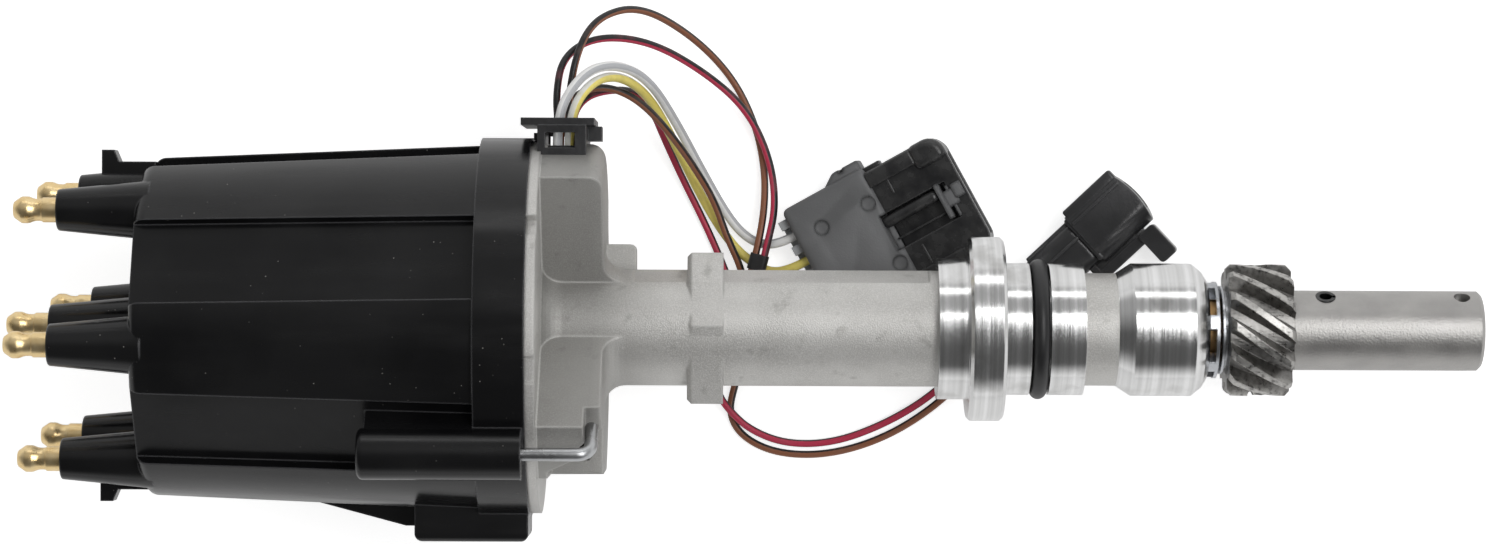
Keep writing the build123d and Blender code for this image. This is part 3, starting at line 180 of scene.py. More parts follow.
room = bpy.data.worlds.new("studio_room")
bpy.context.scene.world = room
room.use_nodes = True
tree = room.node_tree
straight, mirrored = ray_kinds(tree)
direction = tree.nodes.new("ShaderNodeTexCoord")
heading = tree.nodes.new("ShaderNodeSeparateXYZ")
tree.links.new(direction.outputs["Generated"], heading.inputs[0])
across, upwards = heading.outputs["Y"], heading.outputs["Z"]
horizon_top = ranged(tree, across, -0.1, 0.1, near_horizon, far_horizon)
horizon = ranged(tree, upwards, horizon_foot, horizon_top, 1.0, 0.0)
white_share = worked(tree, "MAXIMUM", straight, worked(tree, "MULTIPLY", mirrored, horizon))
mirrored_room = ranged(tree, across, -0.05, 0.45, near_side_mirrored, far_side_mirrored)
dim_room = tree.nodes["Background"]
feed(tree, dim_room.inputs["Strength"], ranged(tree, mirrored, 0.0, 1.0, room_light, mirrored_room))
white_room = tree.nodes.new("ShaderNodeBackground")
white_room.inputs["Strength"].default_value = 1.0
for background in (dim_room, white_room):
    background.inputs["Color"].default_value = (1, 1, 1, 1)
choice = tree.nodes.new("ShaderNodeMixShader")
for socket, source in zip(choice.inputs, (white_share, dim_room.outputs[0], white_room.outputs[0])):
    tree.links.new(source, socket)
tree.links.new(choice.outputs[0], tree.nodes["World Output"].inputs["Surface"])

# The table is a plain matt white sheet. A little light of its own, for the eye and for
# reflections only, brings it up to the backdrop's white and leaves the shadows in it.
table_glow = 0.66
table_mirrored = 0.3
table_width = 14
table_drop = 0.0002
bpy.ops.mesh.primitive_plane_add(size=table_width, location=(0, 0, -table_drop))
table = bpy.context.object
table.name = "table"
table_sheet = bpy.data.materials.new("white_table")
table_sheet.use_nodes = True
tree = table_sheet.node_tree
sheet = tree.nodes["Principled BSDF"]
sheet.inputs["Base Color"].default_value = (0.86, 0.86, 0.86, 1)
sheet.inputs["Roughness"].default_value = 0.9
sheet.inputs["Specular IOR Level"].default_value = 0.1
sheet.inputs["Emission Color"].default_value = (1, 1, 1, 1)
straight, mirrored = ray_kinds(tree)
lit_share = worked(tree, "MAXIMUM", straight, worked(tree, "MULTIPLY", mirrored, table_mirrored))
feed(tree, sheet.inputs["Emission Strength"], worked(tree, "MULTIPLY", lit_share, table_glow))
table.data.materials.append(table_sheet)
bpy.ops.object.select_all(action="DESELECT")

# Six wires leave the grommet in the bowl, two thick ones and four thin ones, in soft
# insulation with a stripe. Each starts square to the grommet, ends square in the back of its
# connector, and lies on the table in between.
thick_wire = 0.00115
thin_wire = 0.0009
grommet_top = 0.0432
exit_run = 0.0045
end_run = 0.004
foot = Vector((block_seat.x, block_seat.y, 0))
wire_exits = {
    "white": (-0.1064, 0.011),
    "yellow": (-0.1036, 0.011),
    "red": (-0.1066, 0.002),
    "brown": (-0.1038, 0.002),
    "lower_brown": (-0.1064, -0.007),
    "lower_red": (-0.1036, -0.007),
}
four_way_place = foot + Vector((-0.04814, 0.0125, 0))
four_way_turn = radians(29.1)
four_way_pitch = 0.0069
four_way_middle = 0.0055
two_way_place = foot + Vector((0.01858, 0.02103, 0))
two_way_turn = radians(43.4)
two_way_pitch = 0.005
two_way_middle = 0.0051
two_way_rear = -0.016


def leave_grommet(name):
    """The two points of a wire's first run, square to the grommet's face."""
    along, aside = wire_exits[name]
    face_point = on_part(along, 0, 0) + to_eye * aside
    return [face_point + across_view * height for height in (grommet_top, grommet_top + exit_run)]


def enter_connector(place, turn, end_x, offset_y, height):
    """The two points of a wire's last run, square into the back of a connector."""
    around = Matrix.Rotation(turn, 3, "Z")
    return [place + around @ Vector((x, offset_y, height)) for x in (end_x - end_run, end_x)]


def lay_wire(name, start, way, end, radius):
    """One smooth line from the grommet over the free points to the connector."""
    curve = bpy.data.curves.new(name, "CURVE")
    curve.dimensions = "3D"
    curve.resolution_u = 10
    curve.bevel_depth = radius
    curve.bevel_resolution = 5
    curve.use_fill_caps = True
    spline = curve.splines.new("NURBS")
    route = start + [foot + Vector(point) for point in way] + end
    spline.points.add(len(route) - 1)
    for point, place in zip(spline.points, route):
        point.co = (*place, 1.0)
    spline.order_u = 3
    spline.use_endpoint_u = True
    wire = bpy.data.objects.new(name, curve)
    bpy.context.scene.collection.objects.link(wire)
    return wire


mix_sockets = {"FLOAT": (2, 3, 0), "VECTOR": (4, 5, 1), "RGBA": (6, 7, 2)}


def mixed(tree, share, first, second, kind="RGBA"):
    """A blend of two colours, or of two vectors or numbers, by a share."""
    first_input, second_input, output = mix_sockets[kind]
    blend = tree.nodes.new("ShaderNodeMix")
    blend.data_type = kind
    feed(tree, blend.inputs[0], share)
    for number, value in ((first_input, first), (second_input, second)):
        feed(tree, blend.inputs[number], (*value, 1) if isinstance(value, tuple) else value)
    return blend.outputs[output]


def speckled(tree, place, scale, detail=3.0, stretch=None):
    """Cloudy noise, pulled out along an axis where the surface was turned or brushed."""
    if stretch:
        pull = tree.nodes.new("ShaderNodeVectorMath")
        pull.operation = "MULTIPLY"
        pull.inputs[1].default_value = stretch
        tree.links.new(place, pull.inputs[0])
        place = pull.outputs[0]
    noise = tree.nodes.new("ShaderNodeTexNoise")
    noise.inputs["Scale"].default_value = scale
    noise.inputs["Detail"].default_value = detail
    tree.links.new(place, noise.inputs["Vector"])
    return noise.outputs["Fac"]


def raised(tree, height, depth, base=None):
    """A small relief from a height, on top of the rounded edges if given."""
    bump = tree.nodes.new("ShaderNodeBump")
    bump.inputs["Strength"].default_value = 1.0
    bump.inputs["Distance"].default_value = depth
    tree.links.new(height, bump.inputs["Height"])
    if base:
        tree.links.new(base, bump.inputs["Normal"])
    return bump.outputs[0]


def coat(tree, shader, colour, rough, relief):
    """Join a finish's colour, roughness and relief to its shader."""
    for label, source in (("Base Color", colour), ("Roughness", rough), ("Normal", relief)):
        tree.links.new(source, shader.inputs[label])


def insulation(name, colour, stripe, stripe_middle, stripe_width):
    """Soft insulation with a stripe along it, dulled by handling."""
    material = bpy.data.materials.new(name)
    material.use_nodes = True
    tree = material.node_tree
    place = tree.nodes.new("ShaderNodeTexCoord")
    split = tree.nodes.new("ShaderNodeSeparateXYZ")
    tree.links.new(place.outputs["UV"], split.inputs[0])
    round_wire = worked(tree, "FRACT", worked(tree, "ADD", split.outputs["Y"], 1.5 - stripe_middle))
    off_middle = worked(tree, "ABSOLUTE", worked(tree, "SUBTRACT", round_wire, 0.5))
    half = stripe_width / 2
    blur = 0.012
    on_stripe = ranged(tree, off_middle, half - blur, half + blur, 1.0, 0.0)
    banded = mixed(tree, on_stripe, colour, stripe)
    dirt = speckled(tree, place.outputs["Object"], 260.0, 5.0)
    dulled = ranged(tree, dirt, 0.48, 0.72, 0.0, 0.35)
    grey = tuple(0.5 * part + 0.06 for part in colour)
    fine = speckled(tree, place.outputs["Object"], 2200.0, 2.0)
    coat(tree, tree.nodes["Principled BSDF"], mixed(tree, dulled, banded, grey),
         ranged(tree, dirt, 0.3, 0.7, 0.32, 0.5), raised(tree, fine, 0.00004))
    return material


white = (0.90, 0.90, 0.89)
yellow = (0.95, 0.81, 0.20)
red = (0.55, 0.035, 0.085)
brown = (0.27, 0.10, 0.048)
black = (0.012, 0.012, 0.013)
wire_finishes = {
    "white": insulation("white_insulation", white, (0.5, 0.51, 0.53), 0.3, 0.2),
    "yellow": insulation("yellow_insulation", yellow, (0.78, 0.78, 0.74), 0.0, 0.5),
    "red": insulation("red_insulation", red, black, 0.12, 0.5),
    "brown": insulation("brown_insulation", brown, black, 0.12, 0.4),
    "lower_brown": insulation("lower_brown_insulation", brown, black, 0.0, 0.5),
    "lower_red": insulation("lower_red_insulation", red, black, 0.0, 0.68),
}

white_way = [
    (-0.102, 0.055, 0.053), (-0.097, 0.062, 0.048), (-0.091, 0.063, 0.038), (-0.086, 0.059, 0.026),
    (-0.082, 0.049, 0.012), (-0.077, 0.037, 0.003), (-0.0715, 0.027, 0.0015),
    (-0.067, 0.0215, 0.002), (-0.062, 0.019, 0.004),
]
yellow_way = [
    (-0.099, 0.055, 0.052), (-0.095, 0.060, 0.045), (-0.091, 0.060, 0.033), (-0.087, 0.055, 0.020),
    (-0.083, 0.044, 0.008), (-0.077, 0.030, 0.002), (-0.070, 0.019, 0.0015),
    (-0.064, 0.014, 0.0015), (-0.059, 0.012, 0.003),
]
red_way = [
    (-0.106, 0.056, 0.0435), (-0.105, 0.065, 0.040), (-0.098, 0.070, 0.0335), (-0.087, 0.069, 0.022),
    (-0.076, 0.062, 0.009), (-0.066, 0.053, 0.004), (-0.060, 0.041, 0.004), (-0.058, 0.029, 0.006),
    (-0.060, 0.019, 0.0075), (-0.0623, 0.0103, 0.007), (-0.0596, 0.0058, 0.0065),
    (-0.0545, 0.0046, 0.006),
]
brown_way = [
    (-0.103, 0.056, 0.043), (-0.101, 0.068, 0.040), (-0.097, 0.075, 0.034), (-0.089, 0.0775, 0.024),
    (-0.079, 0.071, 0.010), (-0.070, 0.061, 0.0015), (-0.064, 0.049, 0.001), (-0.0615, 0.038, 0.002),
    (-0.061, 0.029, 0.005), (-0.062, 0.020, 0.0075), (-0.065, 0.009, 0.007), (-0.0645, 0.003, 0.0065),
    (-0.061, -0.0015, 0.006), (-0.0555, -0.003, 0.006), (-0.0505, -0.001, 0.0055),
]
lower_brown_way = [
    (-0.1055, 0.0525, 0.035), (-0.102, 0.0565, 0.0345), (-0.096, 0.058, 0.032),
    (-0.089, 0.055, 0.0285), (-0.083, 0.048, 0.022), (-0.078, 0.039, 0.012), (-0.0735, 0.030, 0.006),
    (-0.0705, 0.021, 0.005), (-0.067, 0.013, 0.003), (-0.0655, 0.004, 0.001), (-0.066, -0.007, 0.001),
    (-0.069, -0.016, 0.001), (-0.0705, -0.023, 0.001), (-0.067, -0.029, 0.001),
    (-0.058, -0.033, 0.001), (-0.045, -0.033, 0.001), (-0.031, -0.0285, 0.001),
    (-0.018, -0.020, 0.001), (-0.008, -0.0095, 0.001), (0.001, 0.0005, 0.0025),
]
lower_red_way = [
    (-0.103, 0.052, 0.035), (-0.1005, 0.0555, 0.0325), (-0.096, 0.057, 0.0285), (-0.091, 0.057, 0.022),
    (-0.088, 0.0525, 0.013), (-0.086, 0.045, 0.006), (-0.082, 0.035, 0.002), (-0.077, 0.025, 0.001),
    (-0.072, 0.014, 0.001), (-0.069, 0.006, 0.001), (-0.070, -0.004, 0.001), (-0.0725, -0.012, 0.002),
    (-0.073, -0.0175, 0.004), (-0.070, -0.022, 0.004), (-0.065, -0.027, 0.002),
    (-0.056, -0.0305, 0.001), (-0.044, -0.030, 0.001), (-0.031, -0.025, 0.001),
    (-0.019, -0.0175, 0.001), (-0.009, -0.007, 0.001), (-0.002, 0.0035, 0.003),
]
wires = [
    ("brown", brown_way, -1.5, thin_wire),
    ("red", red_way, -0.5, thin_wire),
    ("yellow", yellow_way, 0.5, thick_wire),
    ("white", white_way, 1.5, thick_wire),
    ("lower_brown", lower_brown_way, -0.5, thin_wire),
    ("lower_red", lower_red_way, 0.5, thin_wire),
]
cad_wires = {"lower_brown": "wire_brown_2", "lower_red": "wire_red_2"}
laid_wires = {}
for name, way, row, radius in wires:
    start = leave_grommet(name)
    if name in cad_wires:
        end = enter_connector(two_way_place, two_way_turn, two_way_rear, row * two_way_pitch,
                              two_way_middle)
    else:
        end = enter_connector(four_way_place, four_way_turn, 0, row * four_way_pitch, four_way_middle)
    wire = lay_wire(f"{name}_wire", start, way, end, radius)
    wire.data.materials.append(wire_finishes[name])
    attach(wire, "distributor")
    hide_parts(cad_wires.get(name, f"wire_{name}"))
    laid_wires[name] = (wire, tuple(start[0]), 2 * radius)

# The housing is sand cast aluminium, blasted to an even grey with a fine sparkle. Its bowl end
# is painted darker as painted shade, and its edges paler as a painted highlight. The rings,
# the flange and the barrel that fit the engine block are turned bright, with fine tool marks
# around them, a few dark stains and some dull patches where they were handled.
seat_ring_start = -0.0158
waist_start = 0.0191
waist_end = 0.0270
rim_edge = -0.1098
bowl_back = -0.098
bowl_neck = -0.080
bowl_painted_shade_strength = 0.52


def part_finish(name):
    """A new material, with its node tree and the place of each point along and round the shaft."""
    material = bpy.data.materials.new(name)
    material.use_nodes = True
    tree = material.node_tree
    place = tree.nodes.new("ShaderNodeTexCoord")
    turned = tree.nodes.new("ShaderNodeMapping")
    turned.vector_type = "POINT"
    flat = lay_down.transposed()
    turned.inputs["Rotation"].default_value = flat.to_euler("XYZ")
    turned.inputs["Location"].default_value = -(flat @ block_seat)
    tree.links.new(place.outputs["Object"], turned.inputs["Vector"])
    return material, tree, tree.nodes["Principled BSDF"], turned.outputs[0]


def rounded_edges(tree, radius, samples=4):
    """Edges that shine as if they were rounded."""
    bevel = tree.nodes.new("ShaderNodeBevel")
    bevel.samples = samples
    bevel.inputs["Radius"].default_value = radius
    return bevel.outputs[0]


def edge_share(tree, radius, low=0.01, high=0.12):
    """How near a point is to an edge, from how far the rounded normal leans."""
    geometry = tree.nodes.new("ShaderNodeNewGeometry")
    lean = tree.nodes.new("ShaderNodeVectorMath")
    lean.operation = "DOT_PRODUCT"
    tree.links.new(rounded_edges(tree, radius), lean.inputs[0])
    tree.links.new(geometry.outputs["Normal"], lean.inputs[1])
    return ranged(tree, worked(tree, "SUBTRACT", 1.0, lean.outputs["Value"]), low, high)


def dress(material, *names):
    """Give CAD nodes a finish."""
    for name in names:
        frame["nodes"][name].material_slots[0].material = material


cast_and_turned, tree, shader, place = part_finish("cast_and_turned_aluminium")
split = tree.nodes.new("ShaderNodeSeparateXYZ")
tree.links.new(place, split.inputs[0])
beyond_ring = worked(tree, "GREATER_THAN", split.outputs["X"], seat_ring_start)
before_waist = worked(tree, "LESS_THAN", split.outputs["X"], waist_start)
after_waist = worked(tree, "GREATER_THAN", split.outputs["X"], waist_end)
off_waist = worked(tree, "MAXIMUM", before_waist, after_waist)
turned_share = worked(tree, "MULTIPLY", beyond_ring, off_waist)

cloud = speckled(tree, place, 60.0, 4.0)
sand = speckled(tree, place, 3200.0, 2.0)
stain = speckled(tree, place, 180.0, 6.0)
cast_colour = mixed(tree, ranged(tree, cloud, 0.35, 0.65), (0.50, 0.492, 0.472), (0.61, 0.602, 0.58))
cast_colour = mixed(tree, ranged(tree, sand, 0.42, 0.74), cast_colour, (0.72, 0.71, 0.69))
cast_colour = mixed(tree, ranged(tree, stain, 0.62, 0.72, 0, 0.35), cast_colour, (0.19, 0.185, 0.17))
# Painted shade: from the rim towards the neck, the bowl end of the casting is painted darker.
past_rim = worked(tree, "GREATER_THAN", split.outputs["X"], rim_edge)
shade = ranged(tree, split.outputs["X"], bowl_back, bowl_neck, bowl_painted_shade_strength, 0.0)
bowl_end_painted_shade = worked(tree, "MULTIPLY", past_rim, shade)
cast_colour = mixed(tree, bowl_end_painted_shade, cast_colour, (0.16, 0.157, 0.147))
# Painted highlight: the casting's edges are painted paler, as bright rim lines.
edges = worked(tree, "MULTIPLY", edge_share(tree, 0.0009), 0.7)
cast_colour = mixed(tree, edges, cast_colour, (0.66, 0.65, 0.63))
tool_marks = speckled(tree, place, 1.0, 2.0, (3800.0, 2.0, 2.0))
bands = speckled(tree, place, 1.0, 3.0, (520.0, 3.0, 3.0))
patches = speckled(tree, place, 95.0, 5.0)
bright = mixed(tree, ranged(tree, bands, 0.35, 0.65), (0.62, 0.62, 0.615), (0.86, 0.86, 0.86))
bright = mixed(tree, ranged(tree, patches, 0.56, 0.70, 0, 0.45), bright, (0.34, 0.335, 0.32))
cast_rough = ranged(tree, sand, 0.3, 0.7, 0.40, 0.54)
turned_rough = ranged(tree, bands, 0.3, 0.7, 0.13, 0.22)
rough = mixed(tree, turned_share, cast_rough, turned_rough, "FLOAT")
tree.links.new(ranged(tree, turned_share, 0, 1, 0.55, 1.0), shader.inputs["Metallic"])
sand_height = worked(tree, "MULTIPLY", sand, 0.7)
grain_height = worked(tree, "ADD", sand_height, worked(tree, "MULTIPLY", cloud, 0.6))
cast_bump = raised(tree, grain_height, 0.00011, rounded_edges(tree, 0.0009))
turned_bump = raised(tree, tool_marks, 0.000012, rounded_edges(tree, 0.0003))
relief = mixed(tree, turned_share, cast_bump, turned_bump, "VECTOR")
coat(tree, shader, mixed(tree, turned_share, cast_colour, bright), rough, relief)
dress(cast_and_turned, "housing")


def even_finish(name, light, dark, rough, metal=0.0, cloud_scale=90.0, grain_scale=1200.0,
                grain_depth=0.00003, edge=0.0003, edge_colour=None, stretch=None):
    """A moulded, drawn or plated finish: two near colours in clouds, fine grain, soft edges."""
    material, tree, shader, place = part_finish(name)
    cloud = speckled(tree, place, cloud_scale, 4.0)
    colour = mixed(tree, ranged(tree, cloud, 0.36, 0.64), dark, light)
    if edge_colour:
        colour = mixed(tree, edge_share(tree, edge), colour, edge_colour)
    grain = speckled(tree, place, grain_scale, 2.0, stretch)
    relief = raised(tree, grain, grain_depth, rounded_edges(tree, edge))
    coat(tree, shader, colour, ranged(tree, cloud, 0.3, 0.7, *rough), relief)
    shader.inputs["Metallic"].default_value = metal
    return material


# The O-ring and the grommet are moulded black rubber; the O-ring is stretched into the
# groove between the turned lands and has a thin film of oil.
rubber = even_finish("black_rubber", (0.022, 0.022, 0.023), (0.010, 0.010, 0.011), (0.36, 0.52),
                     grain_scale=1800.0, grain_depth=0.00003, edge=0.0004)
dress(rubber, "o_ring", "harness_grommet", "shaft_seal")

# The cap is moulded in glossy black plastic, with flow clouds, dust specks and pale edges that
# are partly wear and partly a painted edge highlight. It is held by the two latches and carries
# seven towers.
cap_plastic, tree, shader, place = part_finish("glossy_black_cap")
cloud = speckled(tree, place, 34.0, 5.0)
flow = speckled(tree, place, 1.0, 3.0, (30.0, 160.0, 160.0))
dust = tree.nodes.new("ShaderNodeTexVoronoi")
dust.inputs["Scale"].default_value = 420.0
dust.inputs["Randomness"].default_value = 1.0
tree.links.new(place, dust.inputs["Vector"])
speck = ranged(tree, dust.outputs["Distance"], 0.045, 0.085, 1.0, 0.0)
where = ranged(tree, speckled(tree, place, 70.0, 4.0), 0.50, 0.60)
speck = worked(tree, "MULTIPLY", speck, worked(tree, "MULTIPLY", where, 0.55))
colour = mixed(tree, ranged(tree, cloud, 0.4, 0.62), (0.004, 0.004, 0.0045), (0.0085, 0.0085, 0.009))
# Pale edges: partly wear, partly a painted edge highlight.
colour = mixed(tree, edge_share(tree, 0.0007, 0.02, 0.3), colour, (0.085, 0.085, 0.09))
colour = mixed(tree, speck, colour, (0.30, 0.29, 0.27))
ripple = worked(tree, "ADD", cloud, worked(tree, "MULTIPLY", speck, 0.2))
relief = raised(tree, ripple, 0.00014, rounded_edges(tree, 0.0006, 6))
coat(tree, shader, colour, ranged(tree, flow, 0.3, 0.7, 0.15, 0.32), relief)
shader.inputs["Specular IOR Level"].default_value = 0.4
dress(cap_plastic, "distributor_cap")

# The seven terminals are turned from brass bar, pressed into the towers. The tool leaves
# fine rings, and the brass is duller and redder in tarnished patches.
brass, tree, shader, place = part_finish("turned_brass")
rings = speckled(tree, place, 1.0, 2.0, (5200.0, 40.0, 40.0))
tarnish = speckled(tree, place, 420.0, 5.0)
colour = mixed(tree, ranged(tree, tarnish, 0.35, 0.68), (0.90, 0.66, 0.32), (0.98, 0.78, 0.45))
colour = mixed(tree, ranged(tree, tarnish, 0.64, 0.76, 0, 0.5), colour, (0.44, 0.28, 0.11))
relief = raised(tree, rings, 0.000012, rounded_edges(tree, 0.0002))
coat(tree, shader, colour, ranged(tree, tarnish, 0.3, 0.7, 0.24, 0.40), relief)
shader.inputs["Metallic"].default_value = 1.0


def seated(start, clock_angle=0.0, circle=0.0):
    """Where a piece made standing on the table goes: lying along the shaft, from a station."""
    lying = Matrix(((0, 0, 1, start), (0, 1, 0, 0), (-1, 0, 0, 0), (0, 0, 0, 1)))
    turn = radians(clock_angle)
    aside = Matrix.Translation((0, circle * sin(turn), circle * cos(turn)))
    return Matrix.Translation(block_seat) @ lay_down.to_4x4() @ aside @ lying


def finish_piece(piece, name, seat, material, body, slot, *nodes):
    """Put a modelled piece in its place, and give it its finish, its body and its CAD nodes."""
    piece.name = name
    piece.data.name = name
    piece.data.transform(seat)
    piece.data.update()
    piece.data.materials.clear()
    piece.data.materials.append(material)
    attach(piece, body)
    if nodes:
        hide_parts(*nodes)
    bpy.ops.object.select_all(action="DESELECT")
    return piece


def turn_bar(steps):
    """A bar turned to steps of (height, radius), drawn out from a disc one step at a time."""
    bpy.ops.mesh.primitive_circle_add(vertices=bar_sides, radius=steps[0][1], fill_type="NGON")
    bar = bpy.context.object
    bpy.ops.object.mode_set(mode="EDIT")
    bpy.ops.mesh.select_all(action="SELECT")
    for (low, before), (high, after) in zip(steps, steps[1:]):
        bpy.ops.mesh.extrude_region_move(TRANSFORM_OT_translate={"value": (0, 0, high - low)})
        bpy.ops.transform.resize(value=(after / before, after / before, 1))
    bpy.ops.mesh.select_all(action="SELECT")
    bpy.ops.mesh.normals_make_consistent(inside=False)
    bpy.ops.object.mode_set(mode="OBJECT")
    bpy.ops.object.shade_smooth_by_angle(angle=radians(32))
    return bar


tower_circle = 0.03415
tower_tip = -0.2232
centre_tower_extra = 0.005
terminal_reach = 0.0103
cap_inner = -0.2005
button_bore = -0.2145
bar_sides = 40
ball = [
    (0.0, 0.0017), (0.0002, 0.0020), (0.0018, 0.0031), (0.0021, 0.003175), (0.0033, 0.003175),
    (0.0037, 0.0031), (0.0046, 0.00275), (0.0052, 0.00262), (0.0060, 0.0026), (0.0064, 0.00265),
    (0.0067, 0.00275), (0.0068, 0.0029), (0.0070, 0.00295), (0.0136, 0.00295), (0.0137, 0.0020),
]
post_overlap = 0.001
post_start = terminal_reach + cap_inner - tower_tip - post_overlap
plug_post = [
    (post_start, 0.0020), (post_start + 0.0001, 0.0026), (post_start + 0.0172, 0.0026),
    (post_start + 0.0175, 0.0023),
]
plug_count = 6
for number in range(1, plug_count + 1):
    seat = seated(tower_tip - terminal_reach, 360.0 / plug_count * (number - 1), tower_circle)
    finish_piece(turn_bar(ball + plug_post), f"brass_terminal_{number}", seat, brass, "distributor",
                 "terminal_brass", f"plug_terminal_{number}")
centre_post = [(button_bore - tower_tip + centre_tower_extra + terminal_reach, 0.0020)]
seat = seated(tower_tip - centre_tower_extra - terminal_reach)
finish_piece(turn_bar(ball + centre_post), "brass_centre_terminal", seat, brass, "distributor",
             "terminal_brass", "centre_terminal")

# Each latch is a bent zinc plated rod with a slotted head, on a washer and a coil spring in
# the cap's tower. Its foot hooks behind the bowl's ledge.
zinc = even_finish("zinc_plate", (0.52, 0.53, 0.54), (0.38, 0.385, 0.39), (0.22, 0.36), 1.0,
                   grain_scale=900.0, grain_depth=0.00004)
dress(zinc, "latch_rod_1", "latch_rod_2", "latch_washer_1", "latch_washer_2", "module_screws",
      "rotor_screws")
spring_steel = even_finish("drawn_spring_wire", (0.36, 0.36, 0.37), (0.22, 0.22, 0.23), (0.28, 0.42),
                           1.0, grain_scale=1.0, stretch=(300.0, 2400.0, 2400.0),
                           grain_depth=0.00002)


def coil_spring(name, node, clock_angle, circle, start, end, radius, wire, turns):
    """A coil wound by the screw modifier from one wire section, between two stations."""
    pitch = (end - start - 2 * wire) / turns
    bpy.ops.object.select_all(action="DESELECT")
    bpy.ops.mesh.primitive_circle_add(vertices=10, radius=wire / 2, location=(radius, 0, 0))
    coil = bpy.context.object
    bpy.ops.object.transform_apply(location=True, rotation=True, scale=True)
    coil.data.transform(Matrix.Translation((radius, 0, 0)) @ Matrix.Rotation(pi / 2, 4, "X")
                        @ Matrix.Translation((-radius, 0, 0)))
    winding = coil.modifiers.new("winding", "SCREW")
    winding.angle = 2 * pi
    winding.iterations = turns
    winding.screw_offset = pitch
    winding.steps = 28
    winding.render_steps = 28
    bpy.ops.object.modifier_apply(modifier=winding.name)
    bpy.ops.object.mode_set(mode="EDIT")
    bpy.ops.mesh.select_all(action="SELECT")
    bpy.ops.mesh.remove_doubles(threshold=wire * 0.001)
    bpy.ops.mesh.select_all(action="DESELECT")
    bpy.ops.mesh.select_non_manifold()
    bpy.ops.mesh.edge_face_add()
    bpy.ops.mesh.select_all(action="SELECT")
    bpy.ops.mesh.normals_make_consistent(inside=False)
    bpy.ops.object.mode_set(mode="OBJECT")
    bpy.ops.object.shade_smooth_by_angle(angle=radians(50))
    low = min(vertex.co.z for vertex in coil.data.vertices)
    seat = seated(start - low, clock_angle, circle)
    return finish_piece(coil, name, seat, spring_steel, "distributor", "spring_steel", node)


latch_spring_start = -0.1437
latch_spring_end = -0.1253
latch_spring_radius = 0.0036
latch_spring_wire = 0.001
latch_spring_turns = 6
for number, clock_angle in ((1, floor_latch_clock - 180), (2, floor_latch_clock)):
    length = latch_spring_end - latch_spring_start
    coil = coil_spring(f"latch_coil_{number}", f"latch_spring_{number}", clock_angle, latch_circle,
                       latch_spring_start, latch_spring_end, latch_spring_radius,
                       latch_spring_wire, latch_spring_turns)
    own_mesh(coil)

# The carbon button and its fine coil spring sit in the middle of the cap, against the
# rotor's leaf.
carbon = even_finish("pressed_carbon", (0.030, 0.030, 0.032), (0.016, 0.016, 0.017), (0.5, 0.66),
                     grain_scale=2600.0, grain_depth=0.00005)
dress(carbon, "carbon_button")
button_face = -0.2055
button_spring_radius = 0.0023
button_spring_wire = 0.0006
button_spring_turns = 7
coil = coil_spring("button_coil", "button_spring", 0.0, 0.0, button_bore, button_face,
                   button_spring_radius, button_spring_wire, button_spring_turns)
length = button_face - button_bore
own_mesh(coil)

# The harness clip is moulded in dark satin plastic, with a fine grain and edges painted a
# little paler than its faces, as a painted edge highlight.
clip_plastic = even_finish("satin_clip", (0.018, 0.018, 0.020), (0.009, 0.009, 0.010), (0.30, 0.46),
                           grain_scale=900.0, grain_depth=0.00005, edge=0.0004,
                           edge_colour=(0.075, 0.077, 0.08))
dress(clip_plastic, "harness_clip")

# The drive end: a ground shaft in two bronze bushings, a castellated thrust cup, a spring
# washer and a shim in zinc plate, the hardened gear with bright worn crests, and the
# sintered sleeve with its two roll pins.
bronze = even_finish("sintered_bronze", (0.52, 0.33, 0.15), (0.36, 0.22, 0.10), (0.34, 0.5), 1.0,
                     grain_scale=2000.0, grain_depth=0.00004)
dress(bronze, "upper_bushing", "lower_bushing")
ground_steel = even_finish("ground_steel", (0.62, 0.62, 0.63), (0.46, 0.46, 0.47), (0.16, 0.3), 1.0,
                           grain_scale=1.0, stretch=(5000.0, 40.0, 40.0), grain_depth=0.00002)
dress(ground_steel, "shaft")
washer_zinc = even_finish("washer_zinc", (0.62, 0.64, 0.67), (0.40, 0.41, 0.43), (0.18, 0.34), 1.0,
                          grain_scale=900.0, grain_depth=0.00004)
dress(washer_zinc, "thrust_cup", "spring_washer", "shim_washer", "retaining_clip")

gear_steel, tree, shader, place = part_finish("hardened_gear_steel")
gear_crest = 0.0158
gear_root = 0.0125
split = tree.nodes.new("ShaderNodeSeparateXYZ")
tree.links.new(place, split.inputs[0])
square_y = worked(tree, "MULTIPLY", split.outputs["Y"], split.outputs["Y"])
square_z = worked(tree, "MULTIPLY", split.outputs["Z"], split.outputs["Z"])
reach = worked(tree, "SQRT", worked(tree, "ADD", square_y, square_z))
crest = ranged(tree, reach, gear_root + 0.0020, gear_crest - 0.0002)
scuff = speckled(tree, place, 700.0, 5.0)
worn = worked(tree, "MULTIPLY", crest, ranged(tree, scuff, 0.36, 0.56))
colour = mixed(tree, ranged(tree, scuff, 0.35, 0.65), (0.19, 0.185, 0.178), (0.33, 0.322, 0.31))
colour = mixed(tree, worn, colour, (0.50, 0.49, 0.47))
milled = speckled(tree, place, 1.0, 2.0, (700.0, 2600.0, 2600.0))
relief = raised(tree, milled, 0.00006, rounded_edges(tree, 0.0003))
coat(tree, shader, colour, ranged(tree, scuff, 0.3, 0.7, 0.24, 0.42), relief)
shader.inputs["Metallic"].default_value = 1.0
dress(gear_steel, "drive_gear")

sleeve_steel = even_finish("sintered_sleeve_steel", (0.46, 0.45, 0.435), (0.39, 0.38, 0.37),
                           (0.38, 0.46), 0.85, cloud_scale=120.0, grain_scale=1900.0,
                           grain_depth=0.00007, edge_colour=(0.5, 0.49, 0.48))
dress(sleeve_steel, "drive_sleeve")
pin_steel = even_finish("rolled_pin_steel", (0.10, 0.10, 0.10), (0.05, 0.05, 0.05), (0.3, 0.45), 1.0)
dress(pin_steel, "gear_pin", "sleeve_pin")

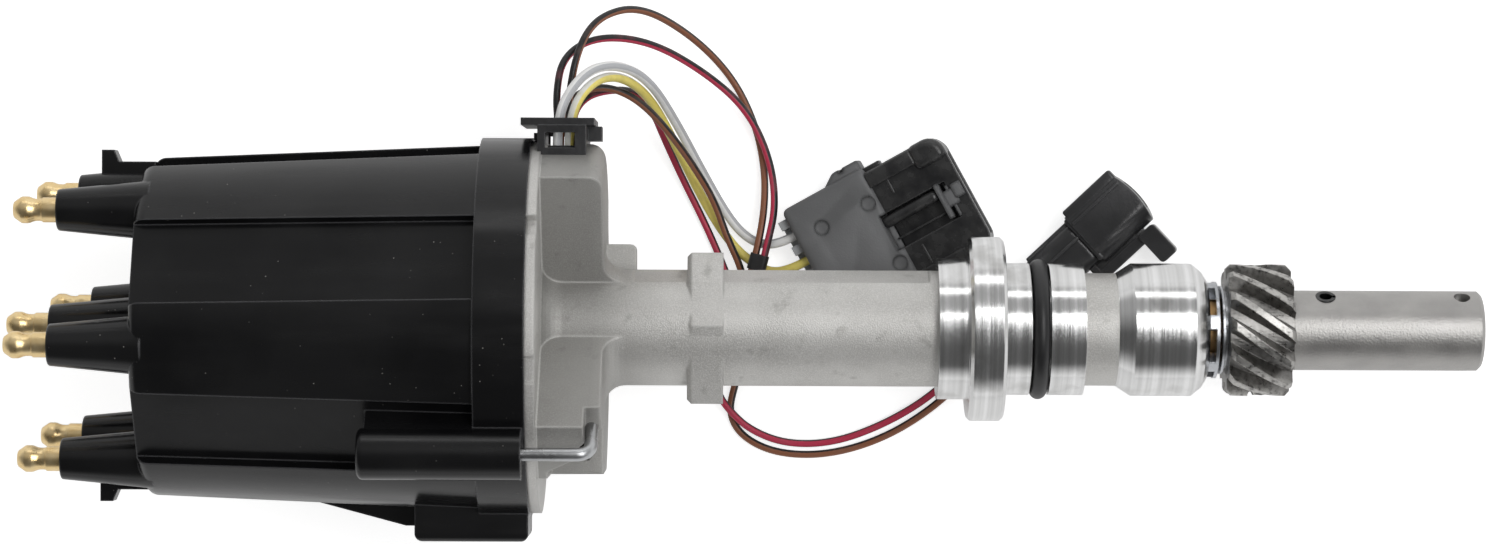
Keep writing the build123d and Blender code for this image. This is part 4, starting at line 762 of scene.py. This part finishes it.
# Inside the bowl and the cap: the pickup with its ring magnet, coil and toothed plates, the
# potted module, and the rotor on top of the trigger wheel.
ferrite = even_finish("ferrite_magnet", (0.055, 0.053, 0.055), (0.035, 0.034, 0.036), (0.42, 0.6))
dress(ferrite, "magnet_ring")
laminated = even_finish("stamped_steel", (0.48, 0.48, 0.49), (0.34, 0.34, 0.35), (0.26, 0.42), 1.0,
                        grain_scale=1.0, stretch=(3200.0, 60.0, 60.0), grain_depth=0.00003)
dress(laminated, "pickup_base_plate", "pole_piece", "trigger_wheel")
winding = even_finish("enamelled_copper", (0.58, 0.24, 0.10), (0.36, 0.13, 0.05), (0.22, 0.36), 1.0,
                      grain_scale=1.0, stretch=(2600.0, 20.0, 20.0), grain_depth=0.00012)
dress(winding, "pickup_winding")
bobbin = even_finish("natural_nylon", (0.42, 0.38, 0.28), (0.34, 0.30, 0.21), (0.36, 0.5))
dress(bobbin, "coil_bobbin")
module_plastic = even_finish("potted_module", (0.035, 0.032, 0.030), (0.020, 0.018, 0.017), (0.4, 0.55))
dress(module_plastic, "ignition_module")
rotor_plastic = even_finish("moulded_rotor", (0.060, 0.030, 0.018), (0.036, 0.018, 0.011), (0.34, 0.5))
dress(rotor_plastic, "rotor_body")
dress(brass, "rotor_blade")
dress(spring_steel, "rotor_contact")

# The two connectors are moulded in glass filled nylon. The wide one is matt at the back and
# glossier in front, the small hooded one is satin, and both have grey seals.
# Painted shade: the matt body's rounded edges are painted nearly black.
connector_plastic = even_finish("matt_connector", (0.15, 0.152, 0.156), (0.115, 0.117, 0.12),
                                (0.40, 0.54), cloud_scale=60.0, grain_scale=2200.0,
                                grain_depth=0.00005, edge=0.0012, edge_colour=(0.012, 0.012, 0.013))
# Painted highlight: the glossy shroud's edges are painted paler.
shroud_plastic = even_finish("glossy_shroud", (0.036, 0.036, 0.036), (0.016, 0.016, 0.017),
                             (0.16, 0.34), cloud_scale=240.0, grain_scale=1400.0,
                             grain_depth=0.00004, edge=0.0004, edge_colour=(0.13, 0.13, 0.132))
# Painted highlight: the satin hood's edges are painted paler.
hood_plastic = even_finish("satin_hood", (0.038, 0.038, 0.040), (0.026, 0.026, 0.027), (0.18, 0.30),
                           cloud_scale=70.0, grain_scale=1600.0, grain_depth=0.00003, edge=0.0006,
                           edge_colour=(0.075, 0.075, 0.077))


def box_between(low, high):
    """A plain box between two corners, to be shaped further."""
    bpy.ops.object.select_all(action="DESELECT")
    bpy.ops.mesh.primitive_cube_add(size=1, location=[(a + b) / 2 for a, b in zip(low, high)])
    box = bpy.context.object
    box.scale = [b - a for a, b in zip(low, high)]
    bpy.ops.object.transform_apply(location=True, rotation=True, scale=True)
    return box


def round_tool(sides, radius, depth, place):
    """An upright cylinder, to cut with."""
    bpy.ops.object.select_all(action="DESELECT")
    bpy.ops.mesh.primitive_cylinder_add(vertices=sides, radius=radius, depth=depth, location=place)
    return bpy.context.object


def round_edges(piece, radius, steps, wanted=None):
    """Round all the edges of a piece, or the ones that are wanted by their two ends."""
    bpy.ops.object.mode_set(mode="EDIT")
    bpy.ops.mesh.select_mode(type="EDGE")
    bpy.ops.mesh.select_all(action="DESELECT")
    bpy.ops.object.mode_set(mode="OBJECT")
    for edge in piece.data.edges:
        ends = [piece.data.vertices[index].co for index in edge.vertices]
        edge.select = wanted is None or wanted(*ends)
    bpy.ops.object.mode_set(mode="EDIT")
    bpy.ops.mesh.bevel(offset=radius, segments=steps, affect="EDGES")
    bpy.ops.object.mode_set(mode="OBJECT")
    bpy.ops.object.shade_smooth_by_angle(angle=radians(40))


def cut_away(piece, tool, operation="DIFFERENCE"):
    """Cut away or keep what a second shape covers, and put the second shape away."""
    trim = piece.modifiers.new("trim", "BOOLEAN")
    trim.operation = operation
    trim.solver = "EXACT"
    trim.object = tool
    bpy.context.view_layer.objects.active = piece
    bpy.ops.object.modifier_apply(modifier=trim.name)
    bpy.data.objects.remove(tool)


def soften(piece, width, steps=2):
    """Take the sharpness off the edges that are left after cutting."""
    bpy.ops.object.select_all(action="DESELECT")
    piece.select_set(True)
    bpy.context.view_layer.objects.active = piece
    edging = piece.modifiers.new("edging", "BEVEL")
    edging.width = width
    edging.segments = steps
    edging.limit_method = "ANGLE"
    edging.angle_limit = radians(40)
    bpy.ops.object.modifier_apply(modifier=edging.name)
    bpy.ops.object.shade_smooth_by_angle(angle=radians(35))


def add_bars(bars, first_name, seat, material, slot):
    """Rounded bars that are moulded in one with the body they stand on."""
    for name, (low, high, radius, steps) in bars.items():
        bar = box_between(low, high)
        round_edges(bar, radius, steps)
        finish_piece(bar, f"{first_name}_{name}", seat, material, "distributor", slot)


# The wide connector's matt rear body has a hump on its far side and four round moulding
# marks, and its seals stand a little out of the back. The shroud in front of it is glossier,
# lower and narrower, with two rounded corners and an open mouth.
four_way_seat = Matrix.Translation(four_way_place) @ Matrix.Rotation(four_way_turn, 4, "Z")
rear_front = 0.0230
rear_top = 0.0110
latch_slot = ((0.0210, -0.00535, 0.0064), (0.0390, 0.00415, 0.0200))
rear = box_between((0.0002, -0.0170, 0.0), (rear_front, 0.0170, rear_top))
round_edges(rear, 0.0016, 5)
cut_away(rear, box_between(*latch_slot))
moulding_marks = ((0.0073, 0.0086), (0.0202, 0.0083), (0.0202, -0.0082), (0.0076, -0.0098))
for along, aside in moulding_marks:
    cut_away(rear, round_tool(40, 0.0018, 0.0008, (along, aside, rear_top)))
soften(rear, 0.00015)
finish_piece(rear, "wide_connector_body", four_way_seat, connector_plastic, "distributor",
             "connector_plastic", "four_way_connector")

hump_back = 0.0095
hump_side = 0.0192
hump_ramp = 0.0061
tiny = 0.0001
hump = box_between((hump_back, 0.0150, 0.0015), (0.0226, hump_side, 0.0095))
for vertex in hump.data.vertices:
    if vertex.co.x < hump_back + tiny and vertex.co.y > hump_side - tiny:
        vertex.co.x += hump_ramp
round_edges(hump, 0.0006, 3)
cut_away(hump, box_between((0.0172, 0.0182, 0.0050), (0.0184, 0.0200, 0.0120)))
finish_piece(hump, "wide_connector_hump", four_way_seat, connector_plastic, "distributor",
             "connector_plastic")

shroud_mouth = 0.0430
corner_radius = 0.0042


def upright_at_mouth(one, two):
    """Whether an edge stands upright at the shroud's mouth."""
    return abs(one.z - two.z) > 0.005 and one.x > shroud_mouth - tiny


shroud = box_between((0.0224, -0.0154, 0.0006), (shroud_mouth, 0.0154, 0.0102))
round_edges(shroud, corner_radius, 8, upright_at_mouth)
cut_away(shroud, box_between(*latch_slot))
cut_away(shroud, box_between((0.0405, -0.0122, 0.0026), (0.0450, 0.0122, 0.0084)))
soften(shroud, 0.0004, 3)
finish_piece(shroud, "wide_connector_shroud", four_way_seat, shroud_plastic, "distributor",
             "connector_plastic")

# In the shroud's slot lies the latch's round arm, with a cross-shaped block at its end. A
# rail runs along the shroud on each side, and the far one ends in a rounded hood.
slot_floor = latch_slot[0][2] - 0.0002
add_bars({
    "arm": ((0.0208, 0.0006, slot_floor), (0.0362, 0.0036, 0.0106), 0.0014, 6),
    "slot_rib": ((0.0222, -0.0030, slot_floor), (0.0360, -0.0025, 0.0074), 0.0001, 2),
}, "wide_connector", four_way_seat, shroud_plastic, "connector_plastic")
add_bars({
    "cross_bar": ((0.0360, -0.0048, slot_floor), (0.0374, 0.0046, 0.0108), 0.0003, 3),
    "cross_block": ((0.0370, -0.0022, slot_floor), (0.0404, 0.0020, 0.0106), 0.0004, 3),
    "end_block": ((0.0398, -0.0010, 0.0090), (0.0424, 0.0028, 0.0112), 0.0004, 3),
    "end_bar": ((0.0384, -0.0052, slot_floor), (0.0396, 0.0032, 0.0102), 0.0003, 3),
}, "wide_connector", four_way_seat, connector_plastic, "connector_plastic")
add_bars({
    "far_rail": ((0.0224, 0.0112, 0.0098), (0.0352, 0.0152, 0.0112), 0.0006, 4),
    "far_flange": ((0.0224, 0.0150, 0.0040), (0.0272, 0.0166, 0.0085), 0.0003, 2),
    "near_rail": ((0.0224, -0.0152, 0.0098), (0.0400, -0.0122, 0.0112), 0.0006, 4),
    "far_rib": ((0.0266, 0.0076, 0.0098), (0.0273, 0.0114, 0.0106), 0.0002, 2),
    "near_rib": ((0.0266, -0.0120, 0.0098), (0.0273, -0.0068, 0.0106), 0.0002, 2),
}, "wide_connector", four_way_seat, shroud_plastic, "connector_plastic")
end_hood = box_between((0.0345, 0.0092, 0.0012), (shroud_mouth, 0.0157, 0.0115))
round_edges(end_hood, corner_radius, 8, lambda one, two: upright_at_mouth(one, two) and one.y > 0.015)
soften(end_hood, 0.0018, 6)
finish_piece(end_hood, "wide_connector_end_hood", four_way_seat, shroud_plastic, "distributor",
             "connector_plastic")

# The small connector's hood is half round on the lever's side, and its mouth is cut to an
# arc. A grooved rail runs along its other side, and the narrower rear body holds the seals.
two_way_seat = Matrix.Translation(two_way_place) @ Matrix.Rotation(two_way_turn, 4, "Z")
hood_half_width = 0.0074
hood_arc = 0.0216
hood_reach = 0.0166
hood = box_between((0.0, -hood_half_width, 0.0), (0.0180, hood_half_width, 0.0114))
round_edges(hood, 0.0052, 14, lambda one, two: abs(one.x - two.x) > 0.015 and one.y < 0)
cut_away(hood, round_tool(160, hood_arc, 0.05, (hood_reach - hood_arc, 0, 0.005)), "INTERSECT")
cut_away(hood, box_between((0.0140, -0.0041, 0.0032), (0.0190, 0.0041, 0.0070)))
soften(hood, 0.0003, 3)
finish_piece(hood, "small_connector_hood", two_way_seat, hood_plastic, "distributor", "two_way_plastic",
             "two_way_connector")
add_bars({
    "rear_body": ((-0.0158, -0.0060, 0.0003), (0.0006, 0.0060, 0.0099), 0.0024, 7),
    "side_rail": ((0.0004, 0.0060, 0.0060), (0.0158, 0.0088, 0.0116), 0.0006, 4),
    "groove_edge": ((0.0004, 0.0044, 0.0108), (0.0156, 0.0053, 0.0119), 0.0003, 3),
    "rear_lip": ((-0.0008, -0.0062, 0.0010), (0.0008, 0.0070, 0.0108), 0.0005, 3),
    "rear_rib": ((-0.0120, 0.0012, 0.0090), (-0.0006, 0.0022, 0.0105), 0.0004, 3),
    "rear_side_rib": ((-0.0140, 0.0052, 0.0050), (-0.0006, 0.0066, 0.0086), 0.0004, 3),
    "lever_web": ((-0.0044, -0.0092, 0.0026), (0.0120, -0.0058, 0.0070), 0.0003, 2),
}, "small_connector", two_way_seat, hood_plastic, "two_way_plastic")
dress(hood_plastic, "two_way_latch")
lock_plastic = even_finish("pale_grey_lock", (0.40, 0.41, 0.42), (0.30, 0.31, 0.32), (0.4, 0.55))
dress(lock_plastic, "four_way_lock")
seal_rubber = even_finish("grey_seal", (0.20, 0.20, 0.21), (0.13, 0.13, 0.14), (0.45, 0.6))
dress(seal_rubber, "four_way_seals", "two_way_seals")
dress(brass, "four_way_terminals", "two_way_terminals")
tape = even_finish("shrunk_sleeving", (0.020, 0.020, 0.021), (0.011, 0.011, 0.012), (0.3, 0.45))
dress(tape, "wire_sleeve")

# Each wire is cut to its length and crimped into its connector. The sleeving holds the thin
# pair together where it comes down beside the neck.
wide_parts = ["four_way_seals", "four_way_terminals", "four_way_lock"]
small_parts = ["two_way_seals", "two_way_terminals", "two_way_latch"]
for piece in bpy.context.scene.objects:
    if piece.name.startswith("wide_connector_"):
        wide_parts.append(piece.name)
    if piece.name.startswith("small_connector_"):
        small_parts.append(piece.name)
wire_lengths = {
    "brown": (0.1672, wide_parts + ["wire_sleeve"]),
    "red": (0.1447, wide_parts + ["wire_sleeve"]),
    "yellow": (0.1167, wide_parts),
    "white": (0.1130, wide_parts),
    "lower_brown": (0.2204, small_parts),
    "lower_red": (0.2165, small_parts),
}
for name, (length, carried) in wire_lengths.items():
    wire, exit_place, diameter = laid_wires[name]
